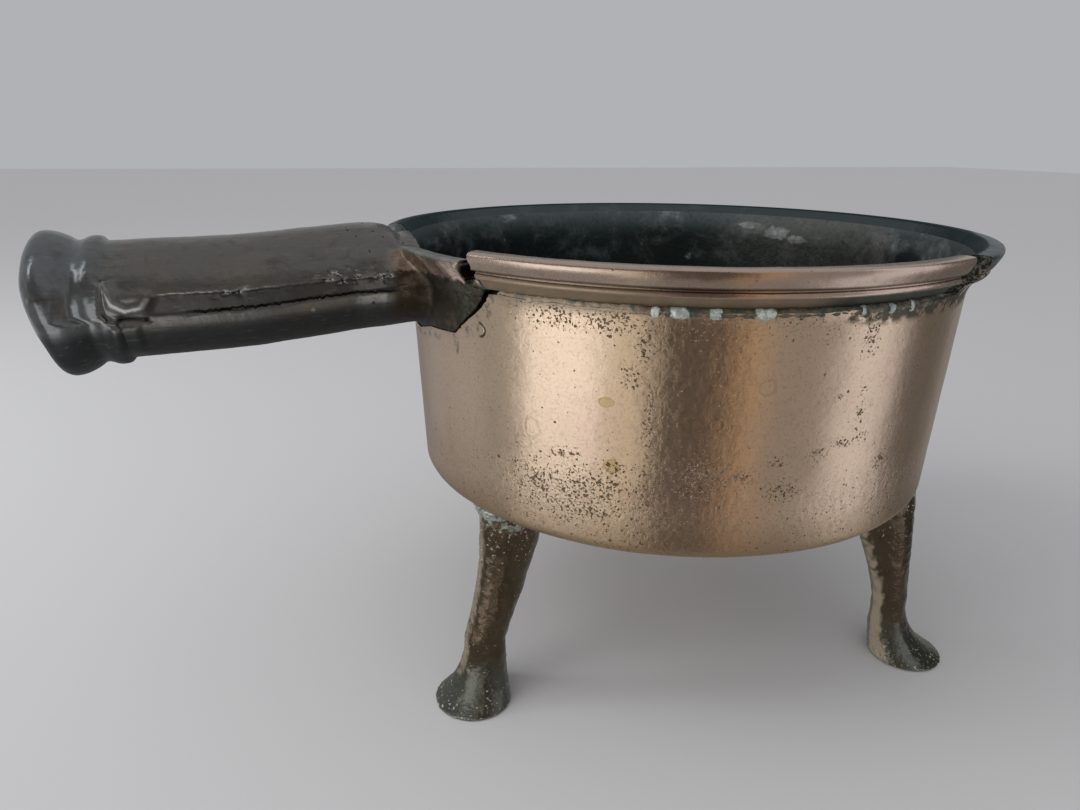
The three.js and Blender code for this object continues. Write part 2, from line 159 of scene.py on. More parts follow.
class SkilletSettings(bpy.types.PropertyGroup):
    bowl: PointerProperty(type=BowlSettings)
    lip: PointerProperty(type=LipSettings)
    handle: PointerProperty(type=HandleSettings)
    legs: PointerProperty(type=LegSettings)
    solder: PointerProperty(type=SolderSettings)
    stage: PointerProperty(type=StageSettings)


def chosen():
    return bpy.context.scene.skillet


# ------------------------------------------------------------------ modelling helpers

def smoothstep(low, high, value):
    t = min(1.0, max(0.0, (value - low) / (high - low)))
    return t * t * (3 - 2 * t)


def mix(a, b, t):
    return a + (b - a) * t


def within(value, rise, fall):
    """1 between two soft steps, each of them given by where it starts and where it is complete."""
    return smoothstep(*rise, value) * smoothstep(*fall, value)


def bell(value, width):
    """1 at zero, falling softly to either side."""
    return math.exp(-((value / width) ** 2))


def off_line(point, a, b):
    """Distance of a point from the straight stretch between two others."""
    point, a, b = Vector(point), Vector(a), Vector(b)
    along = max(0, min(1, (point - a).dot(b - a) / (b - a).length_squared))
    return (point - a - along * (b - a)).length


def uneven(t):
    """Repeatable unevenness between -1 and 1."""
    return 0.5 * math.sin(t * 1.7) + 0.3 * math.sin(t * 4.1 + 1) + 0.2 * math.sin(t * 9.3 + 2)


def polar(radius, angle, z):
    return Vector((AXIS.x + radius * math.cos(angle), AXIS.y + radius * math.sin(angle), z))


def around(co):
    """Angle from the handle toward the break, in degrees, and distance from the bowl's axis."""
    x, y = co.x - AXIS.x, co.y - AXIS.y
    angle = math.degrees(math.atan2(y, x) - HANDLE_ANGLE)
    return (angle + 180) % 360 - 180, math.hypot(x, y)


def deselect_all():
    if bpy.context.object and bpy.context.object.mode != "OBJECT":
        bpy.ops.object.mode_set(mode="OBJECT")
    bpy.ops.object.select_all(action="DESELECT")


def outward(co):
    """The direction from the bowl's axis to a point."""
    return Vector((co.x - AXIS.x, co.y - AXIS.y, 0)).normalized()


def only(piece):
    """Makes the piece the only selected and the active object."""
    deselect_all()
    piece.hide_set(False)
    piece.select_set(True)
    bpy.context.view_layer.objects.active = piece


def edit(piece, kind="VERT"):
    only(piece)
    bpy.ops.object.mode_set(mode="EDIT")
    bpy.ops.mesh.select_mode(type=kind)


def done(piece):
    bpy.ops.object.mode_set(mode="OBJECT")
    piece.data.validate()
    return piece


def tidy_shell(piece):
    edit(piece)
    bpy.ops.mesh.select_all(action="SELECT")
    bpy.ops.mesh.remove_doubles(threshold=0.004 * MM)
    bpy.ops.mesh.normals_make_consistent(inside=False)
    done(piece)


def ring_body(name, rings, sides, along="Z", bridge=False):
    """Extrudes a circle through rings of (centre, one half size, other half size) and closes both ends."""
    deselect_all()
    centre = rings[0][0]
    turn = (0, 0, 0) if along == "Z" else (0, math.pi / 2, 0)
    bpy.ops.mesh.primitive_circle_add(vertices=sides, radius=1, location=centre, rotation=turn)
    piece = bpy.context.object
    piece.name = piece.data.name = name
    bpy.ops.object.transform_apply(location=True, rotation=True, scale=True)
    edit(piece)
    bpy.ops.mesh.select_all(action="SELECT")
    before = (Vector(centre), 1.0, 1.0)
    for centre, wide, tall in rings:
        if before[1] != 1.0 or before[2] != 1.0:
            bpy.ops.mesh.extrude_region_move(TRANSFORM_OT_translate={"value": Vector(centre) - before[0]})
        value = (wide / before[1], tall / before[2], 1) if along == "Z" else (1, wide / before[1], tall / before[2])
        bpy.ops.transform.resize(value=value, center_override=tuple(centre))
        before = (Vector(centre), wide, tall)
    bpy.ops.mesh.select_all(action="DESELECT")
    bpy.ops.mesh.select_non_manifold()
    if bridge:
        bpy.ops.mesh.bridge_edge_loops()
    else:
        bpy.ops.mesh.fill_holes(sides=0)
    bpy.ops.mesh.select_all(action="SELECT")
    bpy.ops.mesh.normals_make_consistent(inside=False)
    return done(piece)


def wedge(name, rows):
    """Extrudes a four-cornered face through rows of four corners."""
    deselect_all()
    bpy.ops.mesh.primitive_plane_add(size=1 * MM, location=rows[0][0])
    piece = bpy.context.object
    piece.name = piece.data.name = name
    bpy.ops.object.transform_apply(location=True, rotation=True, scale=True)
    edit(piece)
    work = bmesh.from_edit_mesh(piece.data)
    corners = [v.co.copy() for v in next(iter(work.faces)).verts]
    for count, row in enumerate(rows):
        if count:
            bpy.ops.mesh.extrude_region_move()
        work = bmesh.from_edit_mesh(piece.data)
        top = [v for v in work.verts if v.select]
        order = [min(top, key=lambda v: (v.co - corner).length) for corner in corners]
        keep = [v.index for v in order]
        for index, target in zip(keep, row):
            work = bmesh.from_edit_mesh(piece.data)
            work.verts.ensure_lookup_table()
            for v in work.verts:
                v.select = v.index == index
            work.select_flush_mode()
            bmesh.update_edit_mesh(piece.data)
            bpy.ops.transform.translate(value=target - work.verts[index].co)
        work = bmesh.from_edit_mesh(piece.data)
        for v in work.verts:
            v.select = v.index in keep
        work.select_flush_mode()
        work.select_flush(True)
        bmesh.update_edit_mesh(piece.data)
        corners = list(row)
    bpy.ops.mesh.select_all(action="SELECT")
    bpy.ops.mesh.normals_make_consistent(inside=False)
    return done(piece)


def apply_modifier(piece, kind, **settings):
    only(piece)
    modifier = piece.modifiers.new(kind.title(), kind)
    for key, value in settings.items():
        setattr(modifier, key, value)
    bpy.ops.object.modifier_apply(modifier=modifier.name)


def combine(piece, other, operation, keep=False):
    """Joins, cuts or intersects the piece with another, which goes unless it is kept."""
    apply_modifier(piece, "BOOLEAN", operation=operation, solver="EXACT", object=other)
    if not keep:
        bpy.data.objects.remove(other)


def weigh(piece, name, weight):
    """A vertex group whose weights come from each vertex's place and normal."""
    group = piece.vertex_groups.new(name=name)
    for v in piece.data.vertices:
        value = weight(v.co, v.normal)
        if value > 0.001:
            group.add([v.index], min(1.0, value), "REPLACE")
    return group.name


def push(piece, distance, weight, direction="NORMAL"):
    """Moves the surface by up to a distance, by a weight of between 0 and 1."""
    name = weigh(piece, "push", weight)
    apply_modifier(piece, "DISPLACE", strength=distance, mid_level=0, direction=direction, vertex_group=name)
    piece.vertex_groups.remove(piece.vertex_groups[name])


def roughen(piece, name, size, height, weight=None):
    """Uneven skin of lumps of about a size and height."""
    texture = bpy.data.textures.new(name, "CLOUDS")
    texture.noise_scale = size
    settings = {"texture": texture, "texture_coords": "LOCAL", "strength": height, "mid_level": 0.5}
    if weight:
        settings["vertex_group"] = weigh(piece, "rough", weight)
    apply_modifier(piece, "DISPLACE", **settings)
    if weight:
        piece.vertex_groups.remove(piece.vertex_groups["rough"])


def note(piece, name, value):
    """Stores a value at each vertex for the material to read."""
    layer = piece.data.attributes.new(name, "FLOAT", "POINT")
    for v in piece.data.vertices:
        layer.data[v.index].value = value(v.co, v.normal)


def smooth_faces(piece, degrees=40):
    only(piece)
    bpy.ops.object.shade_smooth_by_angle(angle=math.radians(degrees))


def unroll(piece):
    """A UV map that runs round the bowl's axis and up, for the direction of the turning marks."""
    layer = piece.data.uv_layers.new(name="turned")
    for face in piece.data.polygons:
        middle = around(face.center)[0]
        for loop in face.loop_indices:
            co = piece.data.vertices[piece.data.loops[loop].vertex_index].co
            angle = around(co)[0]
            angle += 360 * round((middle - angle) / 360)
            layer.data[loop].uv = (angle / 360, co.z / (2 * math.pi * RIM_RADIUS))


def finish_piece(piece, materials, nodes):
    for material in materials:
        piece.data.materials.append(material)
    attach(piece, BODY)
    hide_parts(*nodes)


# ------------------------------------------------------------------ profiles of the bowl

def arc(centre, radius, start, end, steps):
    turns = [mix(start, end, i / steps) for i in range(steps + 1)]
    return [(centre[0] + radius * math.cos(turn), centre[1] + radius * math.sin(turn)) for turn in turns]


def curve(a, control, b, steps):
    """Points of a quadratic curve, without its first."""
    points = []
    for i in range(1, steps + 1):
        t = i / steps
        points.append(tuple((1 - t) ** 2 * p + 2 * t * (1 - t) * q + t * t * r for p, q, r in zip(a, control, b)))
    return points


def line(a, b, steps):
    return [(mix(a[0], b[0], i / steps), mix(a[1], b[1], i / steps)) for i in range(1, steps + 1)]


NECK_DEPTH = 14.5           # from the lip's top to the neck, in millimetres
SEGMENT_DEPTH = 9.5         # from the lip's top to the underside of its broken piece, in millimetres
CUTTER_SIDES = 192          # facets round the bodies that cut the handle and the legs

# points of the lip's section: radius and height over the lip's top, in millimetres
THROAT = (82.8, -2.9)
COVE_TOP = (85.8, -6.9)
BEAD_CENTRE, BEAD_RADIUS = (86.15, -6.05), 0.9
BEAD_FOOT = (85.9, -6.9)
FILLET_TOP = (86.6, -4.95)
FLARE_FOOT = (87.9, -4.5)
FLARE_TOP = (89.0, -2.5)
INNER_EDGE = (84.5, -0.7)


def lip_profile():
    """Radius and height over the lip's top, in millimetres, from the foot of the bead to the throat."""
    points = arc(BEAD_CENTRE, BEAD_RADIUS, -math.pi / 2, math.pi / 3, 7)
    points[0] = BEAD_FOOT
    points += line(points[-1], FILLET_TOP, 2) + line(FILLET_TOP, FLARE_FOOT, 2)
    points += line(FLARE_FOOT, FLARE_TOP, 3) + curve(FLARE_TOP, (90, -0.6), (88.9, -0.2), 5)
    points += curve((88.9, -0.2), (87.5, 0), (86.2, 0), 4) + curve((86.2, 0), (84.9, -0.05), INNER_EDGE, 4)
    return points + line(INNER_EDGE, THROAT, 3)


def worn_profile(sag, wear):
    """The lip that has lost its moulding."""
    edge = 90 - wear
    points = [COVE_TOP] + line(COVE_TOP, (edge - 0.6, -sag - 2.0), 5)
    points += curve((edge - 0.6, -sag - 2.0), (edge, -sag), (edge - 1.4, -sag), 4)
    return points + line((edge - 1.4, -sag), (84.9, -sag - 0.1), 3) + line((84.9, -sag - 0.1), THROAT, 2)


def inner_profile(steps=14):
    bowl = chosen().bowl
    neck, foot = (bowl.neck - bowl.wall) / MM, (bowl.foot - bowl.wall) / MM
    floor = (UNDERSIDE + bowl.floor - RIM_TOP) / MM
    corner = 2.7
    points = curve(THROAT, (neck, -NECK_DEPTH / 2), (neck, -NECK_DEPTH), 6)
    points += line(points[-1], (foot, floor + corner), steps)
    points += arc((foot - corner, floor + corner), corner, 0, -math.pi / 2, 5)[1:]
    return points + [(70, floor), (55, floor), (36, floor), (16, floor), (2, floor)]


def outer_profile(steps=28):
    bowl = chosen().bowl
    foot, corner, base = bowl.foot / MM, bowl.corner / MM, (UNDERSIDE - RIM_TOP) / MM
    points = [(2, base), (16, base), (36, base), (55, base), (68, base)]
    points += arc((foot - corner, base + corner), corner, -math.pi / 2, 0, 8)
    points += line(points[-1], (bowl.neck / MM, -NECK_DEPTH), steps)
    return points + curve((bowl.neck / MM, -NECK_DEPTH), (bowl.neck / MM, -9.94), COVE_TOP, 8)


def turned(name, profile, bridge=False, sides=None):
    rings = [(Vector((AXIS.x, AXIS.y, RIM_TOP + z * MM)), r * MM, r * MM) for r, z in profile]
    return ring_body(name, rings, sides or chosen().bowl.sides, bridge=bridge)


def casting(name, lip, sides=None):
    return turned(name, outer_profile() + lip[1:] + inner_profile(), sides=sides)


# ------------------------------------------------------------------ cutters for the breaks

CUT_INSIDE = 66 * MM
CUT_OUTSIDE = 104 * MM
PATCH_HALF = 16             # angle from the handle to the patch's far edge, in degrees
CRACK_RADIUS = 82.2         # for the width of the crack, in millimetres
LEAST_CAP = 3e-4            # the end faces of a lip_sector are larger than this, in square metres


def crack_rows(side):
    """Rows of the patch that stayed with the handle (side 1) or of the hole that it leaves (side -1)."""
    rows = [(-15.0, CRACK[0][1], CRACK[0][2])]
    for (d0, a0, w0), (d1, a1, w1) in zip(CRACK, CRACK[1:]):
        steps = max(1, round(max(abs(d1 - d0), abs(a1 - a0) * 1.45) / 0.6))
        rows += [(mix(d0, d1, i / steps), mix(a0, a1, i / steps), mix(w0, w1, i / steps)) for i in range(steps)]
    rows.append(CRACK[-1])
    foot_depth, foot_angle = CRACK[-1][:2]
    sections = []
    for count, (depth, angle, width) in enumerate(rows):
        ragged = 0.5 * noise.noise(Vector((count * 0.83, 3.1, 0))) if 0 < count < len(rows) - 1 else 0
        near = angle + ragged - side * math.degrees(width / 2 / CRACK_RADIUS)
        far = mix(PATCH_HALF, foot_angle, (max(0, depth) / foot_depth) ** 3) + 0.3 * uneven(count) - side * 0.05
        z = RIM_TOP - depth * MM + (side * 0.2 * MM if count == len(rows) - 1 else 0)
        low, high = HANDLE_ANGLE - math.radians(far), HANDLE_ANGLE + math.radians(near)
        corners = ((CUT_INSIDE, low), (CUT_INSIDE, high), (CUT_OUTSIDE, high), (CUT_OUTSIDE, low))
        sections.append([polar(radius, turn, z) for radius, turn in corners])
    return sections


def lip_sector(name, start, end, depth, ragged=0.0, slant=0.0, grit=0.0):
    """A block round part of the lip; start and end in degrees from the handle, depth below the lip's top."""
    steps = max(1, round((end - start) / 1.5))
    rows = []
    for i in range(steps + 1):
        angle = mix(start, end, i / steps)
        low = RIM_TOP - depth - ragged * (1 + uneven(i * 0.6))
        inside = HANDLE_ANGLE + math.radians(angle)
        outside = inside + (math.radians(slant) if i == steps else 0)
        rows.append([
            polar(CUT_INSIDE, inside, low), polar(CUT_OUTSIDE, outside, low),
            polar(CUT_OUTSIDE, outside, RIM_TOP + 15 * MM), polar(CUT_INSIDE, inside, RIM_TOP + 15 * MM),
        ])
    block = wedge(name, rows)
    if grit:
        edit(block, "FACE")
        for angle in (start, end):
            bpy.ops.mesh.select_all(action="DESELECT")
            work = bmesh.from_edit_mesh(block.data)
            turn = HANDLE_ANGLE + math.radians(angle + (slant * 0.5 if angle == end else 0))
            middle = polar(85 * MM, turn, RIM_TOP)
            caps = [f for f in work.faces if len(f.verts) == 4 and f.calc_area() > LEAST_CAP]
            face = min(caps, key=lambda f: (f.calc_center_median() - middle).length)
            face.select = True
            bmesh.update_edit_mesh(block.data)
            bpy.ops.mesh.subdivide(number_cuts=44)
            bpy.ops.mesh.select_less()
            bpy.ops.transform.vertex_random(offset=grit, uniform=0.4, seed=3)
        bpy.ops.mesh.select_mode(type="VERT")
        bpy.ops.mesh.select_all(action="SELECT")
        bpy.ops.mesh.normals_make_consistent(inside=False)
        done(block)
    return block


# ------------------------------------------------------------------ shader helpers

class Wire:
    """An output of a shader node. Sums and products of wires add Math nodes to the same tree."""

    def __init__(self, socket):
        self.socket = socket
        self.tree = socket.id_data

    def __add__(self, other):
        return calc("ADD", self, other)

    def __radd__(self, other):
        return calc("ADD", other, self)

    def __sub__(self, other):
        return calc("SUBTRACT", self, other)

    def __rsub__(self, other):
        return calc("SUBTRACT", other, self)

    def __mul__(self, other):
        return calc("MULTIPLY", self, other)

    def __rmul__(self, other):
        return calc("MULTIPLY", other, self)

    def __truediv__(self, other):
        return calc("DIVIDE", self, other)

    def __rtruediv__(self, other):
        return calc("DIVIDE", other, self)

    def __abs__(self):
        return calc("ABSOLUTE", self)


class Outputs:
    """A node's outputs as wires, by name or number."""

    def __init__(self, sockets):
        self.sockets = sockets

    def __getitem__(self, key):
        return Wire(self.sockets[key])


def feed(socket, value):
    """Links a wire to an input, or sets the input to a plain value."""
    if isinstance(value, Wire):
        value.tree.links.new(value.socket, socket)
    else:
        socket.default_value = value


def add(tree, kind, inputs=None, **settings):
    """Adds a node, sets it up and returns its outputs."""
    made = tree.nodes.new("ShaderNode" + kind)
    for key, value in settings.items():
        setattr(made, key, value)
    for key, value in (inputs or {}).items():
        feed(made.inputs[key], value)
    return Outputs(made.outputs)


def calc(operation, *values):
    tree = next(value.tree for value in values if isinstance(value, Wire))
    return add(tree, "Math", dict(enumerate(values)), operation=operation)[0]


def most(*values):
    """The largest of several values."""
    largest = values[0]
    for value in values[1:]:
        largest = calc("MAXIMUM", largest, value)
    return largest


def clamped(value):
    """The same value, held between 0 and 1 by the node that works it out."""
    value.socket.node.use_clamp = True
    return value


def between(value, low, high, to_low=0.0, to_high=1.0):
    """The value's way from low to high, smoothed, as a share."""
    inputs = {"Value": value, "From Min": low, "From Max": high, "To Min": to_low, "To Max": to_high}
    return add(value.tree, "MapRange", inputs, interpolation_type="SMOOTHSTEP")["Result"]


def blend(share, a, b):
    """A colour that goes from a to b as the share goes from 0 to 1."""
    made = share.tree.nodes.new("ShaderNodeMix")
    made.data_type = "RGBA"
    factor, first, second = (made.inputs[index] for index in (0, 6, 7))
    feed(factor, share)
    for socket, colour in ((first, a), (second, b)):
        feed(socket, colour if isinstance(colour, Wire) else (*colour, 1))
    return Wire(made.outputs[2])


def vector(operation, *values, output=0, **inputs):
    named = {**dict(enumerate(values)), **inputs}
    return add(values[0].tree, "VectorMath", named, operation=operation)[output]


def scaled(place, factors):
    return add(place.tree, "Mapping", {"Vector": place, "Scale": factors}, vector_type="POINT")[0]


def noise_of(place, size, detail=3.0, roughness=0.55, distortion=0.0):
    """Noise whose size is given as a count of waves to the metre."""
    inputs = {"Vector": place, "Scale": size, "Detail": detail, "Roughness": roughness, "Distortion": distortion}
    return add(place.tree, "TexNoise", inputs, noise_dimensions="3D")[0]


def noise_along(distance, size, detail):
    """Noise along one line."""
    inputs = {"W": distance * size, "Scale": 1.0, "Detail": detail}
    return add(distance.tree, "TexNoise", inputs, noise_dimensions="1D")[0]


def stored(tree, name):
    """A value that note() kept at each vertex."""
    return add(tree, "Attribute", attribute_name=name)["Fac"]


def shader_group(name, inputs, outputs, build):
    """A node group with named sockets; inputs are (name, kind, default), outputs are (name, kind)."""
    if name in bpy.data.node_groups:
        return bpy.data.node_groups[name]
    tree = bpy.data.node_groups.new(name, "ShaderNodeTree")
    for label, kind, default in inputs:
        socket = tree.interface.new_socket(label, in_out="INPUT", socket_type="NodeSocket" + kind)
        if default is not None:
            socket.default_value = default
    for label, kind in outputs:
        tree.interface.new_socket(label, in_out="OUTPUT", socket_type="NodeSocket" + kind)
    entry = tree.nodes.new("NodeGroupInput")
    leave = tree.nodes.new("NodeGroupOutput")
    for label, value in build(tree, Outputs(entry.outputs)).items():
        feed(leave.inputs[label], value)
    return tree


def use(group, inputs):
    """Places a node group in the tree that its inputs come from."""
    tree = next(value.tree for value in inputs.values() if isinstance(value, Wire))
    made = tree.nodes.new("ShaderNodeGroup")
    made.node_tree = group
    for key, value in inputs.items():
        feed(made.inputs[key], value)
    return Outputs(made.outputs)


# ------------------------------------------------------------------ shared effects

def unrolled(place):
    """Where a point lies on the bowl: distance round from the handle, depth below the lip, distance from the axis."""
    def build(tree, given):
        offset = vector("SUBTRACT", given["Place"], given["Axis"])
        parts = add(tree, "SeparateXYZ", {0: offset})
        length_round = calc("ARCTAN2", parts[1] * -1, parts[0] * -1) * given["Radius"]
        depth = parts[2] * -1
        flat = add(tree, "CombineXYZ", {0: length_round, 1: depth})[0]
        reach = vector("LENGTH", scaled(offset, (1, 1, 0)), output="Value")
        return {"Round": length_round, "Depth": depth, "Flat": flat, "Reach": reach}
    inputs = [
        ("Place", "Vector", None), ("Axis", "Vector", (AXIS.x, AXIS.y, RIM_TOP)), ("Radius", "Float", WALL_RADIUS),
    ]
    outputs = [("Round", "Float"), ("Depth", "Float"), ("Flat", "Vector"), ("Reach", "Float")]
    return use(shader_group("unrolled place", inputs, outputs, build), {"Place": place})


def pits(place, size, amount):
    """Small round pits of uneven size, thicker where the amount is high."""
    def build(tree, given):
        inputs = {"Vector": given["Place"], "Scale": 0.7 / given["Size"], "Detail": 2.0}
        bent = vector("SUBTRACT", add(tree, "TexNoise", inputs)[1], (0.5, 0.5, 0.5))
        shift = vector("SCALE", bent, Scale=given["Size"] * 0.9)
        inputs = {"Vector": vector("ADD", given["Place"], shift), "Scale": 1.0 / given["Size"]}
        cells = add(tree, "TexVoronoi", inputs, feature="F1")
        chance = add(tree, "SeparateColor", {0: cells["Color"]})
        radius = chance[1] * 0.30 + 0.10
        mask = between(cells["Distance"] / radius, 1.0, 0.45)
        return {"Mask": mask * calc("LESS_THAN", chance[0], given["Amount"])}
    inputs = [("Place", "Vector", None), ("Size", "Float", 2 * MM), ("Amount", "Float", 0.3)]
    group = shader_group("casting pits", inputs, [("Mask", "Float")], build)
    return use(group, {"Place": place, "Size": size, "Amount": amount})["Mask"]


def eroded(place, size, amount):
    """Small irregular pits that run into one another, thicker where the amount is high."""
    def build(tree, given):
        value = noise_of(given["Place"], 1.0 / given["Size"], 1.5, 0.5)
        low = given["Amount"] * -0.22 + 0.775
        return {"Mask": between(value, low, low + 0.07)}
    inputs = [("Place", "Vector", None), ("Size", "Float", 1 * MM), ("Amount", "Float", 0.3)]
    group = shader_group("eroded pits", inputs, [("Mask", "Float")], build)
    return use(group, {"Place": place, "Size": size, "Amount": amount})["Mask"]


def oval(flat, centre, half_size, ragged):
    """One soft-edged oval mark on the unrolled wall, as masks that are filled, outlined and soft all over."""
    def build(tree, given):
        offset = vector("SUBTRACT", given["Flat"], given["Centre"])
        far = vector("LENGTH", vector("DIVIDE", offset, given["Half Size"]), output="Value")
        far = far + (noise_of(given["Flat"], 420.0, 3.0) - 0.5) * given["Ragged"]
        outline = between(abs(far - 1.0), 0.28, 0.05)
        return {"Filled": between(far, 1.15, 0.75), "Outline": outline, "Soft": between(far, 1.9, 0.1)}
    inputs = [
        ("Flat", "Vector", None), ("Centre", "Vector", (0, 0, 0)), ("Half Size", "Vector", (1, 1, 1)),
        ("Ragged", "Float", 0.6),
    ]
    group = shader_group("oval mark", inputs, [("Filled", "Float"), ("Outline", "Float"), ("Soft", "Float")], build)
    return use(group, {"Flat": flat, "Centre": centre, "Half Size": half_size, "Ragged": ragged})


def cloud(place, size, share, softness):
    """Soft patches that cover about a share of the surface."""
    def build(tree, given):
        value = noise_of(given["Place"], 1.0 / given["Size"], 5.0, 0.6, 0.4)
        low = 0.72 - given["Share"] * 0.44
        return {"Mask": between(value, low, low + given["Softness"])}
    inputs = [
        ("Place", "Vector", None), ("Size", "Float", 20 * MM), ("Share", "Float", 0.5), ("Softness", "Float", 0.12),
    ]
    group = shader_group("soft patches", inputs, [("Mask", "Float")], build)
    return use(group, {"Place": place, "Size": size, "Share": share, "Softness": softness})["Mask"]


def scratches(place, stretch):
    """Fine scratches that run one way, long and thin."""
    def build(tree, given):
        fine = noise_of(vector("MULTIPLY", given["Place"], given["Stretch"]), 1.0, 6.0, 0.7)
        return {"Value": fine, "Mask": between(fine, 0.56, 0.66)}
    inputs = [("Place", "Vector", None), ("Stretch", "Vector", (300, 3000, 300))]
    group = shader_group("fine scratches", inputs, [("Value", "Float"), ("Mask", "Float")], build)
    return use(group, {"Place": place, "Stretch": stretch})


def metal(name):
    """An empty metal material; returns it with its tree, its shader and the object coordinates."""
    material = bpy.data.materials.new(name)
    material.use_nodes = True
    tree = material.node_tree
    shader = tree.nodes["Principled BSDF"]
    shader.inputs["Metallic"].default_value = 1.0
    return material, tree, shader, add(tree, "TexCoord")["Object"]


def raise_surface(shader, height, distance):
    bump = add(height.tree, "Bump", {"Height": height, "Distance": distance, "Strength": 1.0})
    feed(shader.inputs["Normal"], bump[0])


def join(shader, **inputs):
    """Feeds the shader's inputs, whose names are given with underscores."""
    for key, value in inputs.items():
        feed(shader.inputs[key.replace("_", " ")], value)


def degrees_round(degrees):
    """Length round the wall to an angle from the handle."""
    return math.radians(degrees) * WALL_RADIUS


def marks(flat, table, output, ragged=0.6):
    """The largest of the masks of a table of marks."""
    masks = []
    for angle, depth, wide, tall in table:
        centre = (degrees_round(angle), depth * MM, 0)
        masks.append(oval(flat, centre, (wide * MM, tall * MM, 1), ragged)[output])
    return most(*masks)


# ------------------------------------------------------------------ tints of the finishes

# polished wall
BRONZE_DULL = (0.68, 0.51, 0.375)
BRONZE_ROSE = (0.74, 0.52, 0.42)
BRONZE_MOTTLE = (0.52, 0.38, 0.25)
BRONZE_BROWN = (0.43, 0.31, 0.19)
PIT_DUST = (0.30, 0.22, 0.13)
PIT_DARK = (0.115, 0.088, 0.055)
STAIN_GOLD = (0.60, 0.42, 0.16)
STAIN_EDGE = (0.40, 0.26, 0.09)
WATER_EDGE = (0.38, 0.29, 0.18)
LIP_GRIME = (0.075, 0.09, 0.07)
CRACK_GRIME = (0.10, 0.105, 0.065)

# inside of the bowl, and the top of the lip
LINING_DARK = (0.030, 0.044, 0.043)
LINING_NEAR_LIP = (0.14, 0.165, 0.168)
LINING_PALE = (0.40, 0.40, 0.395)
LINING_GREEN = (0.38, 0.52, 0.44)
LINING_OLIVE = (0.185, 0.175, 0.15)
LINING_SCOURED = (0.52, 0.53, 0.52)
LINING_MOSS = (0.17, 0.20, 0.13)
LINING_SPECKLE = (0.02, 0.026, 0.022)
LIP_DARK = (0.050, 0.068, 0.073)
LIP_GREY = (0.118, 0.126, 0.126)
LIP_EDGE = (0.42, 0.43, 0.42)

# old breaks
FRACTURE_DARK = (0.05, 0.055, 0.045)
FRACTURE_CRYSTAL = (0.36, 0.36, 0.32)
FRACTURE_GREEN = (0.10, 0.16, 0.12)
CRACK_SHADE = (0.012, 0.013, 0.010)
CRACK_FACE_SHADE = (0.014, 0.013, 0.011)

# broken piece of lip
SEGMENT_TONE = (0.60, 0.47, 0.37)
SEGMENT_BROWN = (0.33, 0.24, 0.165)
SEGMENT_SCRATCH = (0.80, 0.72, 0.66)
SEGMENT_SPECK = (0.12, 0.09, 0.06)
NECK_BROWN = (0.34, 0.25, 0.165)
NECK_GREEN = (0.20, 0.20, 0.15)
NECK_DARK = (0.055, 0.072, 0.063)
BEAD_BROWN = (0.37, 0.28, 0.19)
GROOVE_DARK = (0.06, 0.045, 0.028)

# patch of wall on the handle
PATCH_DARK = (0.060, 0.047, 0.033)
PATCH_BROWN = (0.125, 0.098, 0.068)
PATCH_GREEN = (0.12, 0.14, 0.085)
PATCH_LIP = (0.25, 0.27, 0.24)
PATCH_FAR_LIP = (0.10, 0.12, 0.125)
FACET_LIGHT = (0.34, 0.255, 0.195)
FACET_SHADE = (0.22, 0.16, 0.12)
FACET_PINK = (0.92, 0.76, 0.68)
FACET_ROSE = (0.52, 0.40, 0.33)
FILLET_HIGHLIGHT = (0.66, 0.55, 0.47)

# handle
HANDLE_TAN = (0.20, 0.18, 0.155)
HANDLE_BLUE = (0.16, 0.18, 0.19)
HANDLE_RUST = (0.25, 0.185, 0.12)
HANDLE_CLOUD = (0.080, 0.080, 0.070)
HANDLE_STREAK = (0.10, 0.085, 0.07)
HANDLE_STRIP_SHADE = (0.032, 0.031, 0.031)
HANDLE_UNDERSIDE_SHADE = (0.026, 0.031, 0.032)
HANDLE_PIT = (0.04, 0.034, 0.028)
HANDLE_SCRATCH = (0.5, 0.49, 0.47)
HANDLE_EDGE_HIGHLIGHT = (0.40, 0.40, 0.39)
HANDLE_CREST_HIGHLIGHT = (0.50, 0.50, 0.50)
HANDLE_HOLLOW_SHADE = (0.02, 0.022, 0.02)
HANDLE_FLECK = (0.62, 0.60, 0.57)
SEAM_BLACK = (0.008, 0.008, 0.008)

# legs
LEG_DARK = (0.085, 0.066, 0.046)
LEG_RUST = (0.24, 0.145, 0.07)
LEG_MOTTLE = (0.18, 0.155, 0.11)
LEG_RIDGE_HIGHLIGHT = (0.74, 0.62, 0.46)
LEG_GREEN = (0.44, 0.50, 0.42)
LEG_HOLLOW_SHADE = (0.04, 0.035, 0.028)
LEG_EDGE_HIGHLIGHT = (0.60, 0.54, 0.44)
FOOT_GREEN = (0.12, 0.135, 0.115)
FOOT_CRUST = (0.46, 0.50, 0.45)

# solder and braze
BRAZE_PALE = (0.56, 0.585, 0.52)
SEAM_BROWN = (0.17, 0.13, 0.085)
SEAM_BRIGHT = (0.44, 0.36, 0.26)
SEAM_STAIN = (0.24, 0.25, 0.20)
SOLDER_EDGE_HIGHLIGHT = (0.60, 0.63, 0.58)
SOLDER_HOLLOW_SHADE = (0.025, 0.03, 0.022)


